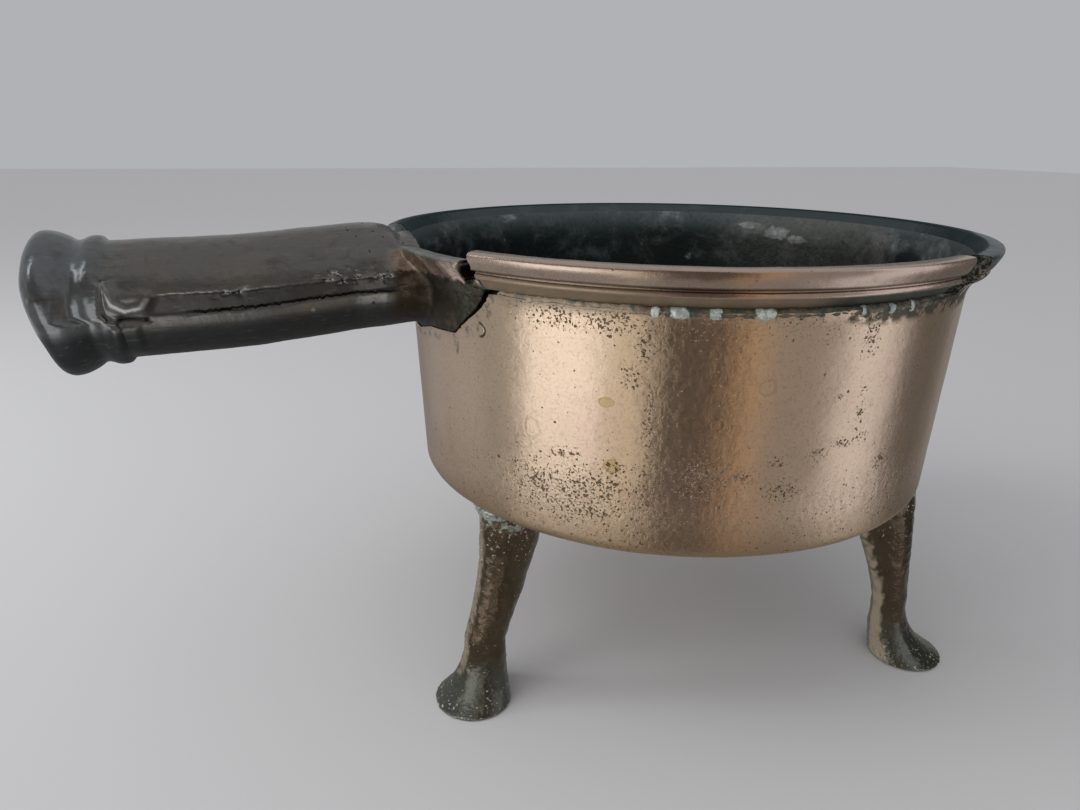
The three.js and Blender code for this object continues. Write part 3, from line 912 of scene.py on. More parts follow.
# ------------------------------------------------------------------ materials
# marks on the polished wall: degrees from the handle, depth and half sizes in millimetres
GOLDEN_STAINS = [(53.3, 32.3, 1.8, 1.15), (54.6, 48.4, 1.9, 1.5)]
WATER_MARKS = [
    (40.0, 42.1, 2.0, 2.6), (38.0, 46.3, 2.2, 1.6), (79.0, 27.1, 1.9, 1.8), (68.3, 36.2, 1.3, 1.3),
    (71.4, 36.3, 1.6, 1.5),
]
CRACK_STAINS = [
    (31.0, 7.5, 1.6, 2.4), (33.0, 10.8, 2.2, 1.4), (30.6, 14.0, 1.3, 2.6), (28.2, 18.0, 1.3, 2.4),
    (25.2, 21.4, 1.8, 1.8), (21.0, 26.0, 1.5, 3.2), (11.0, 25.6, 7.0, 1.2), (4.0, 27.2, 6.0, 1.0),
]
PIT_CLUSTERS = [
    (57.4, 25.3, 2.2, 3.2), (59.4, 17.0, 3.0, 6.0), (60.8, 37.0, 1.6, 9.0), (55.2, 49.0, 3.2, 2.0),
    (46.0, 47.0, 5.0, 1.6), (50.0, 56.0, 16.0, 7.0), (40.0, 57.0, 8.0, 8.0), (48.0, 61.0, 14.0, 5.0),
    (61.0, 54.0, 4.0, 7.0), (70.0, 50.0, 7.0, 6.0), (45.0, 13.0, 9.0, 3.6), (54.0, 13.0, 7.0, 3.0),
    (98.4, 41.6, 2.2, 1.5), (94.6, 42.6, 3.4, 1.2), (90.2, 44.4, 3.2, 1.3), (105.0, 50.0, 3.6, 2.6),
    (96.8, 29.3, 1.2, 1.6), (92.4, 30.5, 0.9, 0.9), (96.5, 16.0, 2.6, 4.5), (97.0, 36.0, 1.4, 4.0),
    (82.1, 45.6, 2.4, 2.0), (77.1, 49.6, 3.4, 2.4), (54.0, 42.2, 0.6, 0.6), (84.0, 54.0, 5.0, 3.0),
]
NICK = (28.4, 19.7, 2.0, 1.7)
SCOURED = [(-146.0, 9.0, 5.0, 2.4), (-138.0, 7.0, 4.5, 1.4), (-152.0, 11.0, 4.0, 1.6)]


def polished_bronze():
    """Turned and polished bronze, eroded low on the wall and under the lip, with old stains and mottled colour."""
    material, tree, shader, place = metal("polished bronze")
    at = unrolled(place)
    tone = cloud(scaled(place, (1, 1, 0.35)), 16 * MM, 0.5, 0.3)
    colour = blend(tone, chosen().bowl.bronze, BRONZE_DULL)
    rose = cloud(place, 24 * MM, 0.45, 0.25)
    colour = blend(rose * 0.65, colour, BRONZE_ROSE)
    mottle = cloud(place, 6 * MM, 0.5, 0.3)
    colour = blend(mottle * 0.22, colour, BRONZE_MOTTLE)
    brown = most(
        between(at["Depth"], 58 * MM, 72 * MM), between(at["Round"], degrees_round(30), degrees_round(8)) * 0.6
    )
    colour = blend(brown * 0.75, colour, BRONZE_BROWN)

    low = between(at["Depth"], 42 * MM, 60 * MM)
    beside = (
        between(at["Round"], degrees_round(33), degrees_round(38))
        * between(at["Round"], degrees_round(104), degrees_round(92))
    )
    under_lip = between(at["Depth"], 20 * MM, 13 * MM) * beside
    clusters = marks(at["Flat"], PIT_CLUSTERS, "Soft", 1.1)
    patchy = cloud(place, 9 * MM, 0.5, 0.3)
    field = between(abs(at["Round"] - degrees_round(52)), degrees_round(24), degrees_round(12), 0.45, 0.95)
    band = most(low * field, under_lip) * (patchy * 0.6 + 0.4)
    amount = most(band * 0.80 + 0.12, clusters)
    fine = eroded(place, 0.75 * MM, amount * 0.95)
    coarse = eroded(place, 1.25 * MM, amount * 0.80 - 0.08)
    lone = pits(place, 0.8 * MM, amount * 0.95 - 0.09)
    wide_pits = pits(place, 1.5 * MM, amount * 0.30 - 0.03)
    holes = most(fine, lone, coarse, wide_pits)
    dust = between(noise_of(place, 1500.0, 2.0, 0.6), 0.50, 0.68)
    colour = blend(dust * (amount * 0.45 + 0.22), colour, PIT_DUST)

    gold = marks(at["Flat"], GOLDEN_STAINS, "Filled", 0.9)
    gold_edge = marks(at["Flat"], GOLDEN_STAINS, "Outline", 0.9)
    colour = blend(gold * 0.50, colour, STAIN_GOLD)
    colour = blend(gold_edge * 0.40, colour, STAIN_EDGE)
    water = marks(at["Flat"], WATER_MARKS, "Outline", 0.9)
    colour = blend(water * 0.26, colour, WATER_EDGE)
    right = between(at["Round"], degrees_round(84), degrees_round(99))
    patches = cloud(place, 3 * MM, right * 0.55 + 0.28, 0.15)
    edge = right * 2.0 * MM + 11.2 * MM
    grime = between(at["Depth"] - edge, 1.6 * MM, -0.6 * MM) * patches
    colour = blend(grime * 0.85, colour, LIP_GRIME)
    speckled = cloud(place, 2.0 * MM, 0.62, 0.25)
    crack = marks(at["Flat"], CRACK_STAINS, "Filled", 1.6) * speckled
    colour = blend(crack * 0.8, colour, CRACK_GRIME)

    angle, depth, wide, tall = NICK
    nick = oval(at["Flat"], (degrees_round(angle), depth * MM, 0), (wide * MM, tall * MM, 1), 0.3)["Outline"]
    nick = nick * between(at["Round"], degrees_round(angle) - 0.6 * MM, degrees_round(angle) + 0.4 * MM)
    shade = between(abs(at["Round"] - degrees_round(69)), degrees_round(6), degrees_round(10), 0.35, 0.82)
    dark = most(holes * shade, nick)
    colour = blend(dark, colour, PIT_DARK)

    turning = scratches(place, (60, 60, 5200))["Value"]
    polish = scratches(place, (240, 240, 2000))["Value"]
    rough = polish * 0.16 + 0.22
    rough = rough + most(holes * 0.6, grime) * 0.35
    rough = clamped(rough + most(gold, brown) * 0.08)
    lumps = noise_of(place, 200.0, 3.0)
    wrinkles = noise_of(scaled(place, (1, 1, 0.8)), 560.0, 5.0, 0.7, 0.9)
    worn = most(patchy * 0.3 + 0.30, low, 1.1 - shade)
    height = lumps * (1.4 - shade) * 0.15 + turning * 0.015
    height = height + wrinkles * worn * 0.15
    height = height - most(holes, nick * 0.5) * 0.20
    height = height + most(water, gold_edge) * 0.02
    join(shader, Base_Color=colour, Roughness=rough)
    raise_surface(shader, height, MM)
    shader.inputs["Anisotropic"].default_value = 0.75
    shader.inputs["Anisotropic Rotation"].default_value = 0.25
    feed(shader.inputs["Tangent"], add(tree, "Tangent", direction_type="UV_MAP", uv_map="turned")[0])
    return material


def tarnished_lining():
    """Near-black green inside with paler scoured patches near the lip and pale green specks."""
    material, tree, shader, place = metal("tarnished lining")
    parts = add(tree, "SeparateXYZ", {0: place})
    tone = cloud(place, 12 * MM, 0.5, 0.2)
    colour = blend(tone, LINING_DARK, chosen().bowl.lining)
    near_lip = between(parts[2], RIM_TOP - 11 * MM, RIM_TOP - 2 * MM)
    colour = blend(near_lip * 0.6, colour, LINING_NEAR_LIP)
    high = between(parts[2], RIM_TOP - 26 * MM, RIM_TOP - 6 * MM)
    pale = cloud(scaled(place, (1, 1, 1.5)), 22 * MM, 0.42, 0.16)
    fine = cloud(place, 3.5 * MM, 0.6, 0.3)
    pale = pale * high * (fine * 0.6 + 0.4)
    colour = blend(pale * 0.9, colour, LINING_PALE)
    green = pits(place, 6 * MM, 0.25)
    colour = blend(green * fine * 0.85, colour, LINING_GREEN)
    at = unrolled(place)
    scoured = marks(at["Flat"], SCOURED, "Filled", 1.5)
    worn_side = (
        between(at["Round"], degrees_round(-118), degrees_round(-150))
        * between(parts[2], RIM_TOP - 34 * MM, RIM_TOP - 16 * MM)
    )
    colour = blend(worn_side * (fine * 0.5 + 0.5) * 0.75, colour, LINING_OLIVE)
    soft = cloud(place, 7 * MM, 0.6, 0.3)
    colour = blend(scoured * (soft * 0.7 + 0.3) * 0.8, colour, LINING_SCOURED)
    moss = cloud(place, 9 * MM, 0.3, 0.15)
    colour = blend(moss * fine * 0.5, colour, LINING_MOSS)
    speckle = noise_of(place, 700.0, 3.0, 0.7)
    colour = blend(between(speckle, 0.5, 0.75) * 0.6, colour, LINING_SPECKLE)
    join(shader, Base_Color=colour, Roughness=tone * 0.22 + 0.34)
    height = speckle * 0.4 + noise_of(place, 160.0) * 0.6
    raise_surface(shader, height, 0.35 * MM)
    shader.inputs["Metallic"].default_value = 0.8
    return material


def worn_lip():
    """Smooth grey top of the lip."""
    material, _, shader, place = metal("worn lip")
    tone = cloud(place, 9 * MM, 0.5, 0.35)
    colour = blend(tone, LIP_DARK, LIP_GREY)
    at = unrolled(place)
    outer = between(at["Reach"], 88.8 * MM, 89.7 * MM)
    inner = between(at["Reach"], 84.9 * MM, 84.5 * MM)
    colour = blend(most(outer * 0.5, inner * 0.1), colour, LIP_EDGE)
    join(shader, Base_Color=colour, Roughness=tone * 0.15 + 0.26)
    raise_surface(shader, noise_of(place, 420.0, 4.0), 0.12 * MM)
    shader.inputs["Specular Tint"].default_value = (0.66, 0.72, 0.74, 1)
    return material


def fracture_metal():
    """Gritty old break, dark with pale crystals, painted near-black as shade where it lies down in the crack."""
    material, _, shader, place = metal("old fracture")
    grain = noise_of(place, 900.0, 3.0, 0.7)
    colour = blend(between(grain, 0.45, 0.62), FRACTURE_DARK, FRACTURE_CRYSTAL)
    green = cloud(place, 3 * MM, 0.45, 0.15)
    colour = blend(green * 0.6, colour, FRACTURE_GREEN)
    at = unrolled(place)
    # painted shade: near-black on the break faces nearer the handle, down in the crack
    colour = blend(between(at["Round"], degrees_round(40), degrees_round(36)), colour, CRACK_SHADE)
    join(shader, Base_Color=colour)
    shader.inputs["Roughness"].default_value = 0.6
    raise_surface(shader, grain, 0.5 * MM)
    return material


def segment_bronze():
    """Pinkish bronze of the broken piece, brushed along, with a dark groove and a duller strip of neck."""
    material, _, shader, place = metal("rose bronze")
    at = unrolled(place)
    tone = cloud(place, 10 * MM, 0.5, 0.3)
    colour = blend(tone, chosen().lip.bronze, SEGMENT_TONE)
    fine = cloud(place, 2.2 * MM, 0.45, 0.25)
    colour = blend(fine * 0.35, colour, SEGMENT_BROWN)
    across = scratches(scaled(place, (1, 1, 0.25)), (1500, 1500, 1500))["Mask"]
    left = between(at["Round"], degrees_round(49), degrees_round(37))
    colour = blend(across * left * 0.75, colour, SEGMENT_SCRATCH)
    strip = between(at["Depth"], 6.1 * MM, 6.8 * MM)
    green = cloud(place, 2.0 * MM, 0.42, 0.2)
    neck = blend(green * 0.6, NECK_BROWN, NECK_GREEN)
    far_end = between(at["Round"], degrees_round(82), degrees_round(91))
    neck = blend(far_end * 0.85, neck, NECK_DARK)
    colour = blend(strip, colour, neck)
    bead = between(at["Depth"], 4.6 * MM, 5.0 * MM) * between(at["Round"], degrees_round(66), degrees_round(58))
    colour = blend(bead * (1.0 - strip) * 0.75, colour, BEAD_BROWN)
    groove = between(at["Depth"], 3.7 * MM, 4.2 * MM) * between(at["Depth"], 5.0 * MM, 4.6 * MM)
    colour = blend(groove * 0.8, colour, GROOVE_DARK)
    specks = eroded(place, 1.3 * MM, 0.25)
    colour = blend(specks * 0.5, colour, SEGMENT_SPECK)
    brushed = scratches(place, (500, 500, 900))["Value"]
    rough = brushed * 0.2 + 0.17 + most(strip, bead) * 0.22
    join(shader, Base_Color=colour, Roughness=rough, Metallic=strip * -0.7 + 1.0)
    height = brushed * 0.3 - specks * 0.6
    height = height + noise_of(place, 220.0, 2.0) * 0.6
    raise_surface(shader, height, 0.13 * MM)
    return material


def patch_colour(place):
    """Broken-out patch: worn brown and pinkish facets below its lip, a painted highlight in the hollow beside the
    barrel, dark under them, green toward the crack.
    """
    at = unrolled(place)
    value = noise_of(place, 420.0, 3.0, 0.6, 0.6)
    tone = cloud(place, 4 * MM, 0.5, 0.2)
    dark = blend(tone, PATCH_DARK, PATCH_BROWN)
    facet = blend(between(value, 0.42, 0.60), FACET_LIGHT, FACET_SHADE)
    pink = blend(between(value, 0.45, 0.66), FACET_PINK, FACET_ROSE)
    bright = blend(between(at["Round"], degrees_round(23.0), degrees_round(24.2)), facet, pink)
    # painted highlight in the hollow where the barrel runs into the patch
    hollow = (
        between(at["Round"], degrees_round(15.4), degrees_round(16.2))
        * between(at["Round"], degrees_round(18.4), degrees_round(17.4))
    )
    hollow = hollow * between(at["Depth"], 12.4 * MM, 10.6 * MM)
    bright = blend(hollow * 0.85, bright, FILLET_HIGHLIGHT)
    ragged = value * 4 * MM + at["Depth"]
    colour = blend(between(ragged, 9.2 * MM, 10.4 * MM), bright, dark)
    crack = between(at["Round"], degrees_round(20), degrees_round(27))
    green = cloud(place, 2.4 * MM, 0.62, 0.15)
    low = between(at["Depth"], 7.0 * MM, 10.0 * MM)
    colour = blend(crack * low * green * 0.8, colour, PATCH_GREEN)
    lip = between(at["Depth"], 3.4 * MM, 2.6 * MM)
    far = between(at["Round"], degrees_round(-4), degrees_round(-8))
    lip_colour = blend(far, PATCH_LIP, PATCH_FAR_LIP)
    return blend(most(lip, far) * 0.85, colour, lip_colour)


def dark_bronze():
    """Grey-brown patina with a low gloss, painted shade below the middle line, on a strip along the near side and in
    the hollows, painted highlights on the edges and the tongue's crest, and an open seam along the near side.
    """
    material, tree, shader, place = metal("dark bronze")
    parts = add(tree, "SeparateXYZ", {0: place})
    up = stored(tree, "up")
    near = between(parts[1], AXIS.y - 4 * MM, AXIS.y - 8 * MM)
    tone = cloud(scaled(place, (0.5, 1, 1)), 9 * MM, 0.5, 0.35)
    colour = blend(tone, chosen().handle.bronze, HANDLE_TAN)
    blue = between(parts[0], AXIS.x - 152 * MM, AXIS.x - 166 * MM)
    colour = blend(blue * 0.7, colour, HANDLE_BLUE)
    rusty = cloud(place, 5 * MM, 0.30, 0.15)
    colour = blend(rusty * 0.55, colour, HANDLE_RUST)
    cloudy = cloud(place, 3.2 * MM, 0.50, 0.25)
    colour = blend(cloudy * 0.50, colour, HANDLE_CLOUD)
    streak = scratches(place, (35, 260, 260))["Value"]
    colour = blend(between(streak, 0.55, 0.75), colour, HANDLE_STREAK)
    # painted shade on the flat strip that faces down under the ridge between the mould halves
    barrel = between(parts[0], AXIS.x - 153 * MM, AXIS.x - 148 * MM)
    strip = between(up, 2.9, 2.1) * between(up, -3.4, -1.8) * near * barrel
    colour = blend(strip * 0.72, colour, HANDLE_STRIP_SHADE)
    # painted shade: darker below the handle's middle line, on its underside
    underside_shade = between(streak * 3.0 + up, -1.2, -5.6)
    colour = blend(underside_shade * 0.85, colour, HANDLE_UNDERSIDE_SHADE)
    root = between(parts[0], AXIS.x - 106 * MM, AXIS.x - 92 * MM)
    holes = pits(place, 2.0 * MM, root * 0.38)
    colour = blend(holes * 0.8, colour, HANDLE_PIT)
    scratch = scratches(place, (150, 900, 900))
    colour = blend(scratch["Mask"] * 0.10, colour, HANDLE_SCRATCH)
    # painted highlight on the sharp convex edges above the underside, partly real wear
    edges = add(tree, "NewGeometry")["Pointiness"]
    worn = between(edges, 0.52, 0.57) * between(up, -6.5, -4.5)
    colour = blend(worn * 0.5, colour, HANDLE_EDGE_HIGHLIGHT)
    # painted highlight: paler along the crest of the curled tongue of the ring
    crest = between(stored(tree, "crest"), 0.70, 0.95)
    colour = blend(crest * 0.35, colour, HANDLE_CREST_HIGHLIGHT)
    # painted shade: near-black in the concave hollows
    hollow = between(edges, 0.48, 0.43)
    colour = blend(hollow * 0.75, colour, HANDLE_HOLLOW_SHADE)
    wander = noise_along(parts[0], 900.0, 3.0)
    slow = noise_along(parts[0], 110.0, 2.0)
    line_up = wander * 1.1 - 2.5 + slow * 1.2 - 0.6
    off = abs(up - line_up)
    seam = between(off, 0.36, 0.12) * near * between(parts[0], AXIS.x - 144 * MM, AXIS.x - 138 * MM)
    seam = seam * between(slow, 0.30, 0.42)
    colour = blend(seam * 0.95, colour, SEAM_BLACK)
    knocked = stored(tree, "knocked")
    fleck = between(knocked, 0.15, 0.5) * between(noise_of(place, 1500.0, 2.0), 0.48, 0.58)
    colour = blend(fleck * 0.6, colour, HANDLE_FLECK)
    patch = stored(tree, "patch")
    colour = blend(patch, colour, patch_colour(place))
    # painted shade: near-black on the patch's face inside the crack
    broken = stored(tree, "broken")
    colour = blend(broken, colour, CRACK_FACE_SHADE)
    rough = scratch["Value"] * 0.2 + blue * -0.05 + 0.18
    dull = most(holes, hollow, most(patch, strip) * 0.5)
    rough = clamped(rough + most(dull, underside_shade) * 0.3)
    height = noise_of(place, 420.0, 4.0, 0.6) * 0.5 + holes * -0.8 - seam * 1.0
    join(shader, Base_Color=colour, Roughness=rough)
    raise_surface(shader, height, 0.25 * MM)
    shader.inputs["Metallic"].default_value = 0.9
    return material


def rough_bronze():
    """Dark glossy unpolished casting with small pale specks, green where the braze ran and crust on the foot; a
    painted highlight down one side, painted highlights on the edges and painted shade in the hollows.
    """
    material, tree, shader, place = metal("rough bronze")
    parts = add(tree, "SeparateXYZ", {0: place})
    tone = cloud(place, 7 * MM, 0.5, 0.3)
    colour = blend(tone, chosen().legs.bronze, LEG_DARK)
    # painted highlight: a pale streak down the side of each leg that faces the handle's direction, read from the
    # ridge attribute
    ridge = stored(tree, "ridge")
    ridge_highlight = ridge * between(noise_of(place, 380.0, 4.0, 0.6), 0.24, 0.44)
    rusty = cloud(place, 4.5 * MM, 0.30, 0.15)
    colour = blend(rusty * 0.6, colour, LEG_RUST)
    mottled = cloud(place, 2.2 * MM, 0.48, 0.25)
    colour = blend(mottled * 0.5, colour, LEG_MOTTLE)
    foot = between(parts[2], 17 * MM, 8 * MM)
    colour = blend(foot * 0.75, colour, FOOT_GREEN)
    colour = blend(ridge_highlight * 0.85, colour, LEG_RIDGE_HIGHLIGHT)
    high = between(parts[2], 34 * MM, 58 * MM)
    specks = eroded(place, 0.9 * MM, high * 0.45 + 0.35)
    colour = blend(specks * 0.8, colour, chosen().legs.crust)
    lump = cloud(place, 5 * MM, between(parts[2], 50 * MM, 59 * MM) * 0.62, 0.12)
    colour = blend(lump * 0.8, colour, LEG_GREEN)
    low_crust = eroded(place, 0.9 * MM, between(parts[2], 16 * MM, 2 * MM) * 0.75)
    colour = blend(low_crust * 0.6, colour, FOOT_CRUST)
    # painted shade in the hollows and painted highlight on the sharp edges, by how concave or convex the surface is
    edges = add(tree, "NewGeometry")["Pointiness"]
    colour = blend(between(edges, 0.49, 0.43) * 0.8, colour, LEG_HOLLOW_SHADE)
    colour = blend(between(edges, 0.52, 0.57) * 0.35, colour, LEG_EDGE_HIGHLIGHT)
    grain = noise_of(place, 800.0, 3.0, 0.65)
    dry = most(specks, lump, low_crust)
    join(shader, Base_Color=colour, Roughness=dry * 0.35 + 0.25, Metallic=dry * -0.6 + 0.95)
    height = grain * 0.35 + dry * 0.45
    height = height + noise_of(place, 300.0, 3.0) * 0.8
    raise_surface(shader, height, 0.4 * MM)
    return material


def corroded_solder(name, pale, green_share, dabs=False):
    """Dull lumpy solder under green-black corrosion, with painted highlights on its edges and painted shade in its
    hollows; on the seam only the dabs stay bright.
    """
    material, tree, shader, place = metal(name)
    corrosion = cloud(place, (3 if dabs else 1.6) * MM, green_share, 0.12)
    speckle = noise_of(place, 800.0, 3.0, 0.7)
    base = blend(between(speckle, 0.4, 0.6), pale, tuple(0.6 * c for c in pale))
    if dabs:
        bright = stored(tree, "bright")
        at = unrolled(place)
        left = between(at["Round"], degrees_round(61), degrees_round(54))
        ground = blend(left, SEAM_BROWN, SEAM_BRIGHT)
        stain = blend(left, chosen().solder.corrosion, SEAM_STAIN)
        between_dabs = blend(corrosion, ground, stain)
        chewed = noise_of(place, 620.0, 3.0, 0.65) - 0.5
        edge = bright + (corrosion - 0.5) * -0.30 + chewed * 1.5
        rim = between(edge, 0.05, 0.3) * between(at["Round"], degrees_round(60), degrees_round(64))
        colour = blend(rim * 0.7, between_dabs, chosen().solder.corrosion)
        colour = blend(between(edge, 0.45, 0.75), colour, base)
    else:
        colour = blend(corrosion * 0.85, base, chosen().solder.corrosion)
    # painted highlight on the sharp edges and painted shade in the hollows
    edges = add(tree, "NewGeometry")["Pointiness"]
    colour = blend(between(edges, 0.52, 0.60) * 0.35, colour, SOLDER_EDGE_HIGHLIGHT)
    colour = blend(between(edges, 0.48, 0.42) * 0.85, colour, SOLDER_HOLLOW_SHADE)
    join(shader, Base_Color=colour, Roughness=corrosion * 0.25 + 0.42)
    raise_surface(shader, speckle + noise_of(place, 380.0, 3.0) * (0.0 if dabs else 2.0), 0.3 * MM)
    shader.inputs["Metallic"].default_value = 0.4
    return material


# ------------------------------------------------------------------ shapes of the handle

AXIS_DEPTH = 11.02 * MM     # top of the lip to the barrel's middle line, at the lip's outer edge
INNER_DROOP = math.radians(5)
OUTER_DROOP = math.radians(1.7)
BEND_BACK = 50 * MM         # end of the knob to the slight bend
RING_BACK = 19 * MM         # end of the knob to the foot of the ring
NECK_BACK = 12 * MM         # end of the knob to its neck
WIDEST_BACK = 5.2 * MM      # end of the knob to its widest section
KNOB_TRIM = 0.03 * MM       # keeps the cast skin inside the solid's box
ROOT_SPREAD = 0.28          # the root is wider than round by this share
ROOT_LENGTH = 11 * MM
SHOULDER_SINK = 0.27        # the barrel's top rounds down to the lip by this share of its radius
SIDE_SLIP = 0.5 * MM        # the lower half of the mould also slipped to one side
WALL_OUTSIDE = 82.2 * MM

# the ring: distance past its foot (mm) and share of its height
RING_PROFILE = [(0, 0), (0.35, 0.1786), (0.8, 0.75), (1.4, 1), (2.8, 1.05), (4, 0.85), (5, 0.5), (5.9, 0.34)]
NECK_SHARE = 0.36

# lines on the near side: distance from the bowl's axis and height over the handle's middle line (mm)
CURL_PATH = [(159.2, 6.0), (157.6, 1.6), (154.8, -0.2), (151.2, 0.4), (150.0, 2.0)]
NOTCH_LINE = [(158.6, -2.3), (150.2, -3.1)]


def axis_height(reach):
    """Height of the handle's middle line at a distance from the bowl's axis."""
    bend = KNOB_END - BEND_BACK
    inner = min(reach, bend) - RIM_RADIUS
    outer = max(0, reach - bend)
    return RIM_TOP - AXIS_DEPTH - inner * math.tan(INNER_DROOP) - outer * math.tan(OUTER_DROOP)


def on_handle(co):
    """Distance from the bowl's axis along the handle, and height over the handle's middle line."""
    reach = AXIS.x - co.x
    return reach, co.z - axis_height(reach)


def root_spread(reach):
    return 1 + ROOT_SPREAD * (1 - smoothstep(RIM_RADIUS, RIM_RADIUS + ROOT_LENGTH, reach))


def stations():
    """Distance from the bowl's axis and radius of the handle, from inside the wall to the end of the knob."""
    handle = chosen().handle
    grip, ring, knob = handle.grip, handle.ring, handle.knob - KNOB_TRIM
    rows = [(CUT_INSIDE + i * 1.6 * MM, handle.root) for i in range(16)]
    first, last, steps = rows[-1][0], KNOB_END - RING_BACK, 34
    rows += [(mix(first, last, i / steps), mix(handle.root, grip, i / steps)) for i in range(1, steps)]
    rows += [(last + past * MM, grip + share * ring) for past, share in RING_PROFILE]
    neck, widest = KNOB_END - NECK_BACK, KNOB_END - WIDEST_BACK
    steps = 7
    for i in range(steps + 1):
        t = i / steps
        swell = math.sin(math.pi / 2 * t) ** 0.9
        rows.append((mix(neck, widest, t), grip + mix(NECK_SHARE * ring, knob, swell)))
    steps = 14
    for i in range(1, steps + 1):
        turn = math.pi / 2 * i / steps
        rows.append((widest + 5.17 * MM * math.sin(turn), max(0.6 * MM, (grip + knob) * math.cos(turn) ** 0.62)))
    return rows


def shoulder(co, n):
    """The barrel's top rounds down toward the lip."""
    reach, up = on_handle(co)
    t = min(1, max(0, (RIM_RADIUS + 9 * MM - reach) / (12 * MM)))
    return max(0, up) / chosen().handle.root * (1 - math.sqrt(1 - t * t))


def slipped_half(co, n):
    """The lower half of the mould, below the step in the ring."""
    reach, up = on_handle(co)
    along = smoothstep(RIM_RADIUS, KNOB_END - BEND_BACK, reach)
    knob = smoothstep(KNOB_END - 10 * MM, KNOB_END - 5.5 * MM, reach)
    step = mix(smoothstep(1.3 * MM, 2.3 * MM, -up), smoothstep(-9 * MM, 11 * MM, -up), knob)
    return step * along * min(1, math.hypot(up, co.y - AXIS.y) / chosen().handle.grip)


def barrel():
    rings = []
    for reach, radius in stations():
        rings.append((Vector((AXIS.x - reach, AXIS.y, axis_height(reach))), radius * root_spread(reach), radius))
    piece = ring_body("handle_body", rings, 120, along="X")
    handle = chosen().handle
    push(piece, -SHOULDER_SINK * handle.root, shoulder, "Z")
    push(piece, handle.slip, slipped_half, "X")
    push(piece, -SIDE_SLIP, slipped_half, "Y")
    return piece


def root_hollow(co, n):
    """The hollow where barrel and wall meet, below the lip."""
    angle, reach = around(co)
    along, up = on_handle(co)
    wall = WALL_OUTSIDE + 3.6 * MM * smoothstep(14.5 * MM, 6.5 * MM, RIM_TOP - co.z)
    off_barrel = math.hypot(up, (co.y - AXIS.y) / root_spread(along)) - chosen().handle.root
    share = smoothstep(7 * MM, 2 * MM, math.hypot(off_barrel, reach - wall))
    below_lip = smoothstep(RIM_TOP - 1.5 * MM, RIM_TOP - 5 * MM, co.z)
    outside = smoothstep(82.4 * MM, 83.2 * MM, reach + 0.6 * MM)
    return share * below_lip * outside * smoothstep(25, 21, abs(angle))


def near_side(share):
    """A share that is given over the length and height of the handle, on its near side alone."""
    return lambda co, n: share(*on_handle(co)) if co.y < AXIS.y - 6 * MM else 0


def flat_strip(reach, up):
    """The flat strip below the ridge between the halves of the mould."""
    ridge = 2.0 * MM + 1.1 * MM * (reach - 98 * MM) / (52 * MM) + 0.15 * MM * uneven(reach * 700)
    along = within(reach, (84 * MM, 90 * MM), (KNOB_END - 27 * MM, KNOB_END - 30 * MM))
    return along * within(up, (-5.2 * MM, -2.6 * MM), (ridge, ridge - 0.7 * MM))


def open_seam(reach, up):
    """The open seam between the halves of the mould."""
    wander = 0.35 * MM * noise.noise(Vector((reach * 260, 0, 0)))
    height = -2.0 * MM + wander + 0.8 * MM * smoothstep(96 * MM, 86 * MM, reach)
    along = within(reach, (84 * MM, 88 * MM), (KNOB_END - 34 * MM, KNOB_END - 40 * MM))
    return along * bell(up - height, 0.45 * MM)


def curl(reach, up):
    """The curled tongue at the end of the upper half of the ring."""
    reach, up = reach / MM, up / MM
    if not 146 < reach < 161 or not -4 < up < 7:
        return 0
    far = min(off_line((reach, up), a, b) for a, b in zip(CURL_PATH, CURL_PATH[1:]))
    inside = within(reach, (149, 151), (158.5, 156.5)) * within(up, (-0.6, 0.6), (5.5, 2.5))
    return max(bell(far, 1.6), 0.55 * inside)


def notch(reach, up):
    """The dark gap under that tongue."""
    if not 146 * MM < reach < 162 * MM:
        return 0
    return bell(off_line((reach / MM, up / MM), *NOTCH_LINE), 0.62)


def boss(reach, up):
    """The lower half of the ring runs on toward the bowl as a low boss."""
    area = within(reach, (151.6 * MM, 153.4 * MM), (159.5 * MM, 157.5 * MM))
    return area * within(up, (-14 * MM, -9 * MM), (-3.6 * MM, -4.6 * MM))


def knocks(co, n):
    """Knocked bright flecks in two places along the ridge on the near side."""
    if co.y >= AXIS.y - 6 * MM:
        return 0
    reach, up = on_handle(co)
    area = within(reach, (88 * MM, 92 * MM), (112 * MM, 107 * MM)) * bell(up - 2.6 * MM, 1.9 * MM)
    area += 0.6 * within(reach, (122 * MM, 125 * MM), (137 * MM, 134 * MM)) * bell(up - 2.2 * MM, 1.1 * MM)
    return area * smoothstep(0.05, 0.4, noise.noise(Vector((co.x * 520, co.y * 420 + co.z * 300, co.z * 900))))


def flutes(co, n):
    """Shallow worn hollows side by side on the patch, under its lip."""
    angle, reach = around(co)
    depth = (RIM_TOP - co.z) / MM
    if not 13 < angle < 29 or not 2 < depth < 11 or reach > 91 * MM:
        return 0
    hollow = abs(math.sin(math.pi * (angle - 13.2) / 4.7))
    ragged = depth + 1.2 * noise.noise(Vector((angle, depth, 0)) * 0.4)
    return hollow * smoothstep(2.6, 4.2, depth) * smoothstep(9.8, 7.6, ragged)


def patch_share(co, n):
    """1 on the broken-out piece of wall, 0 on the barrel."""
    side = abs(co.y - AXIS.y)
    on_wall = smoothstep(93.5 * MM, 89.5 * MM, around(co)[1] - 0.12 * (side - 14 * MM))
    return on_wall * smoothstep(13.4 * MM, 14.8 * MM, side)


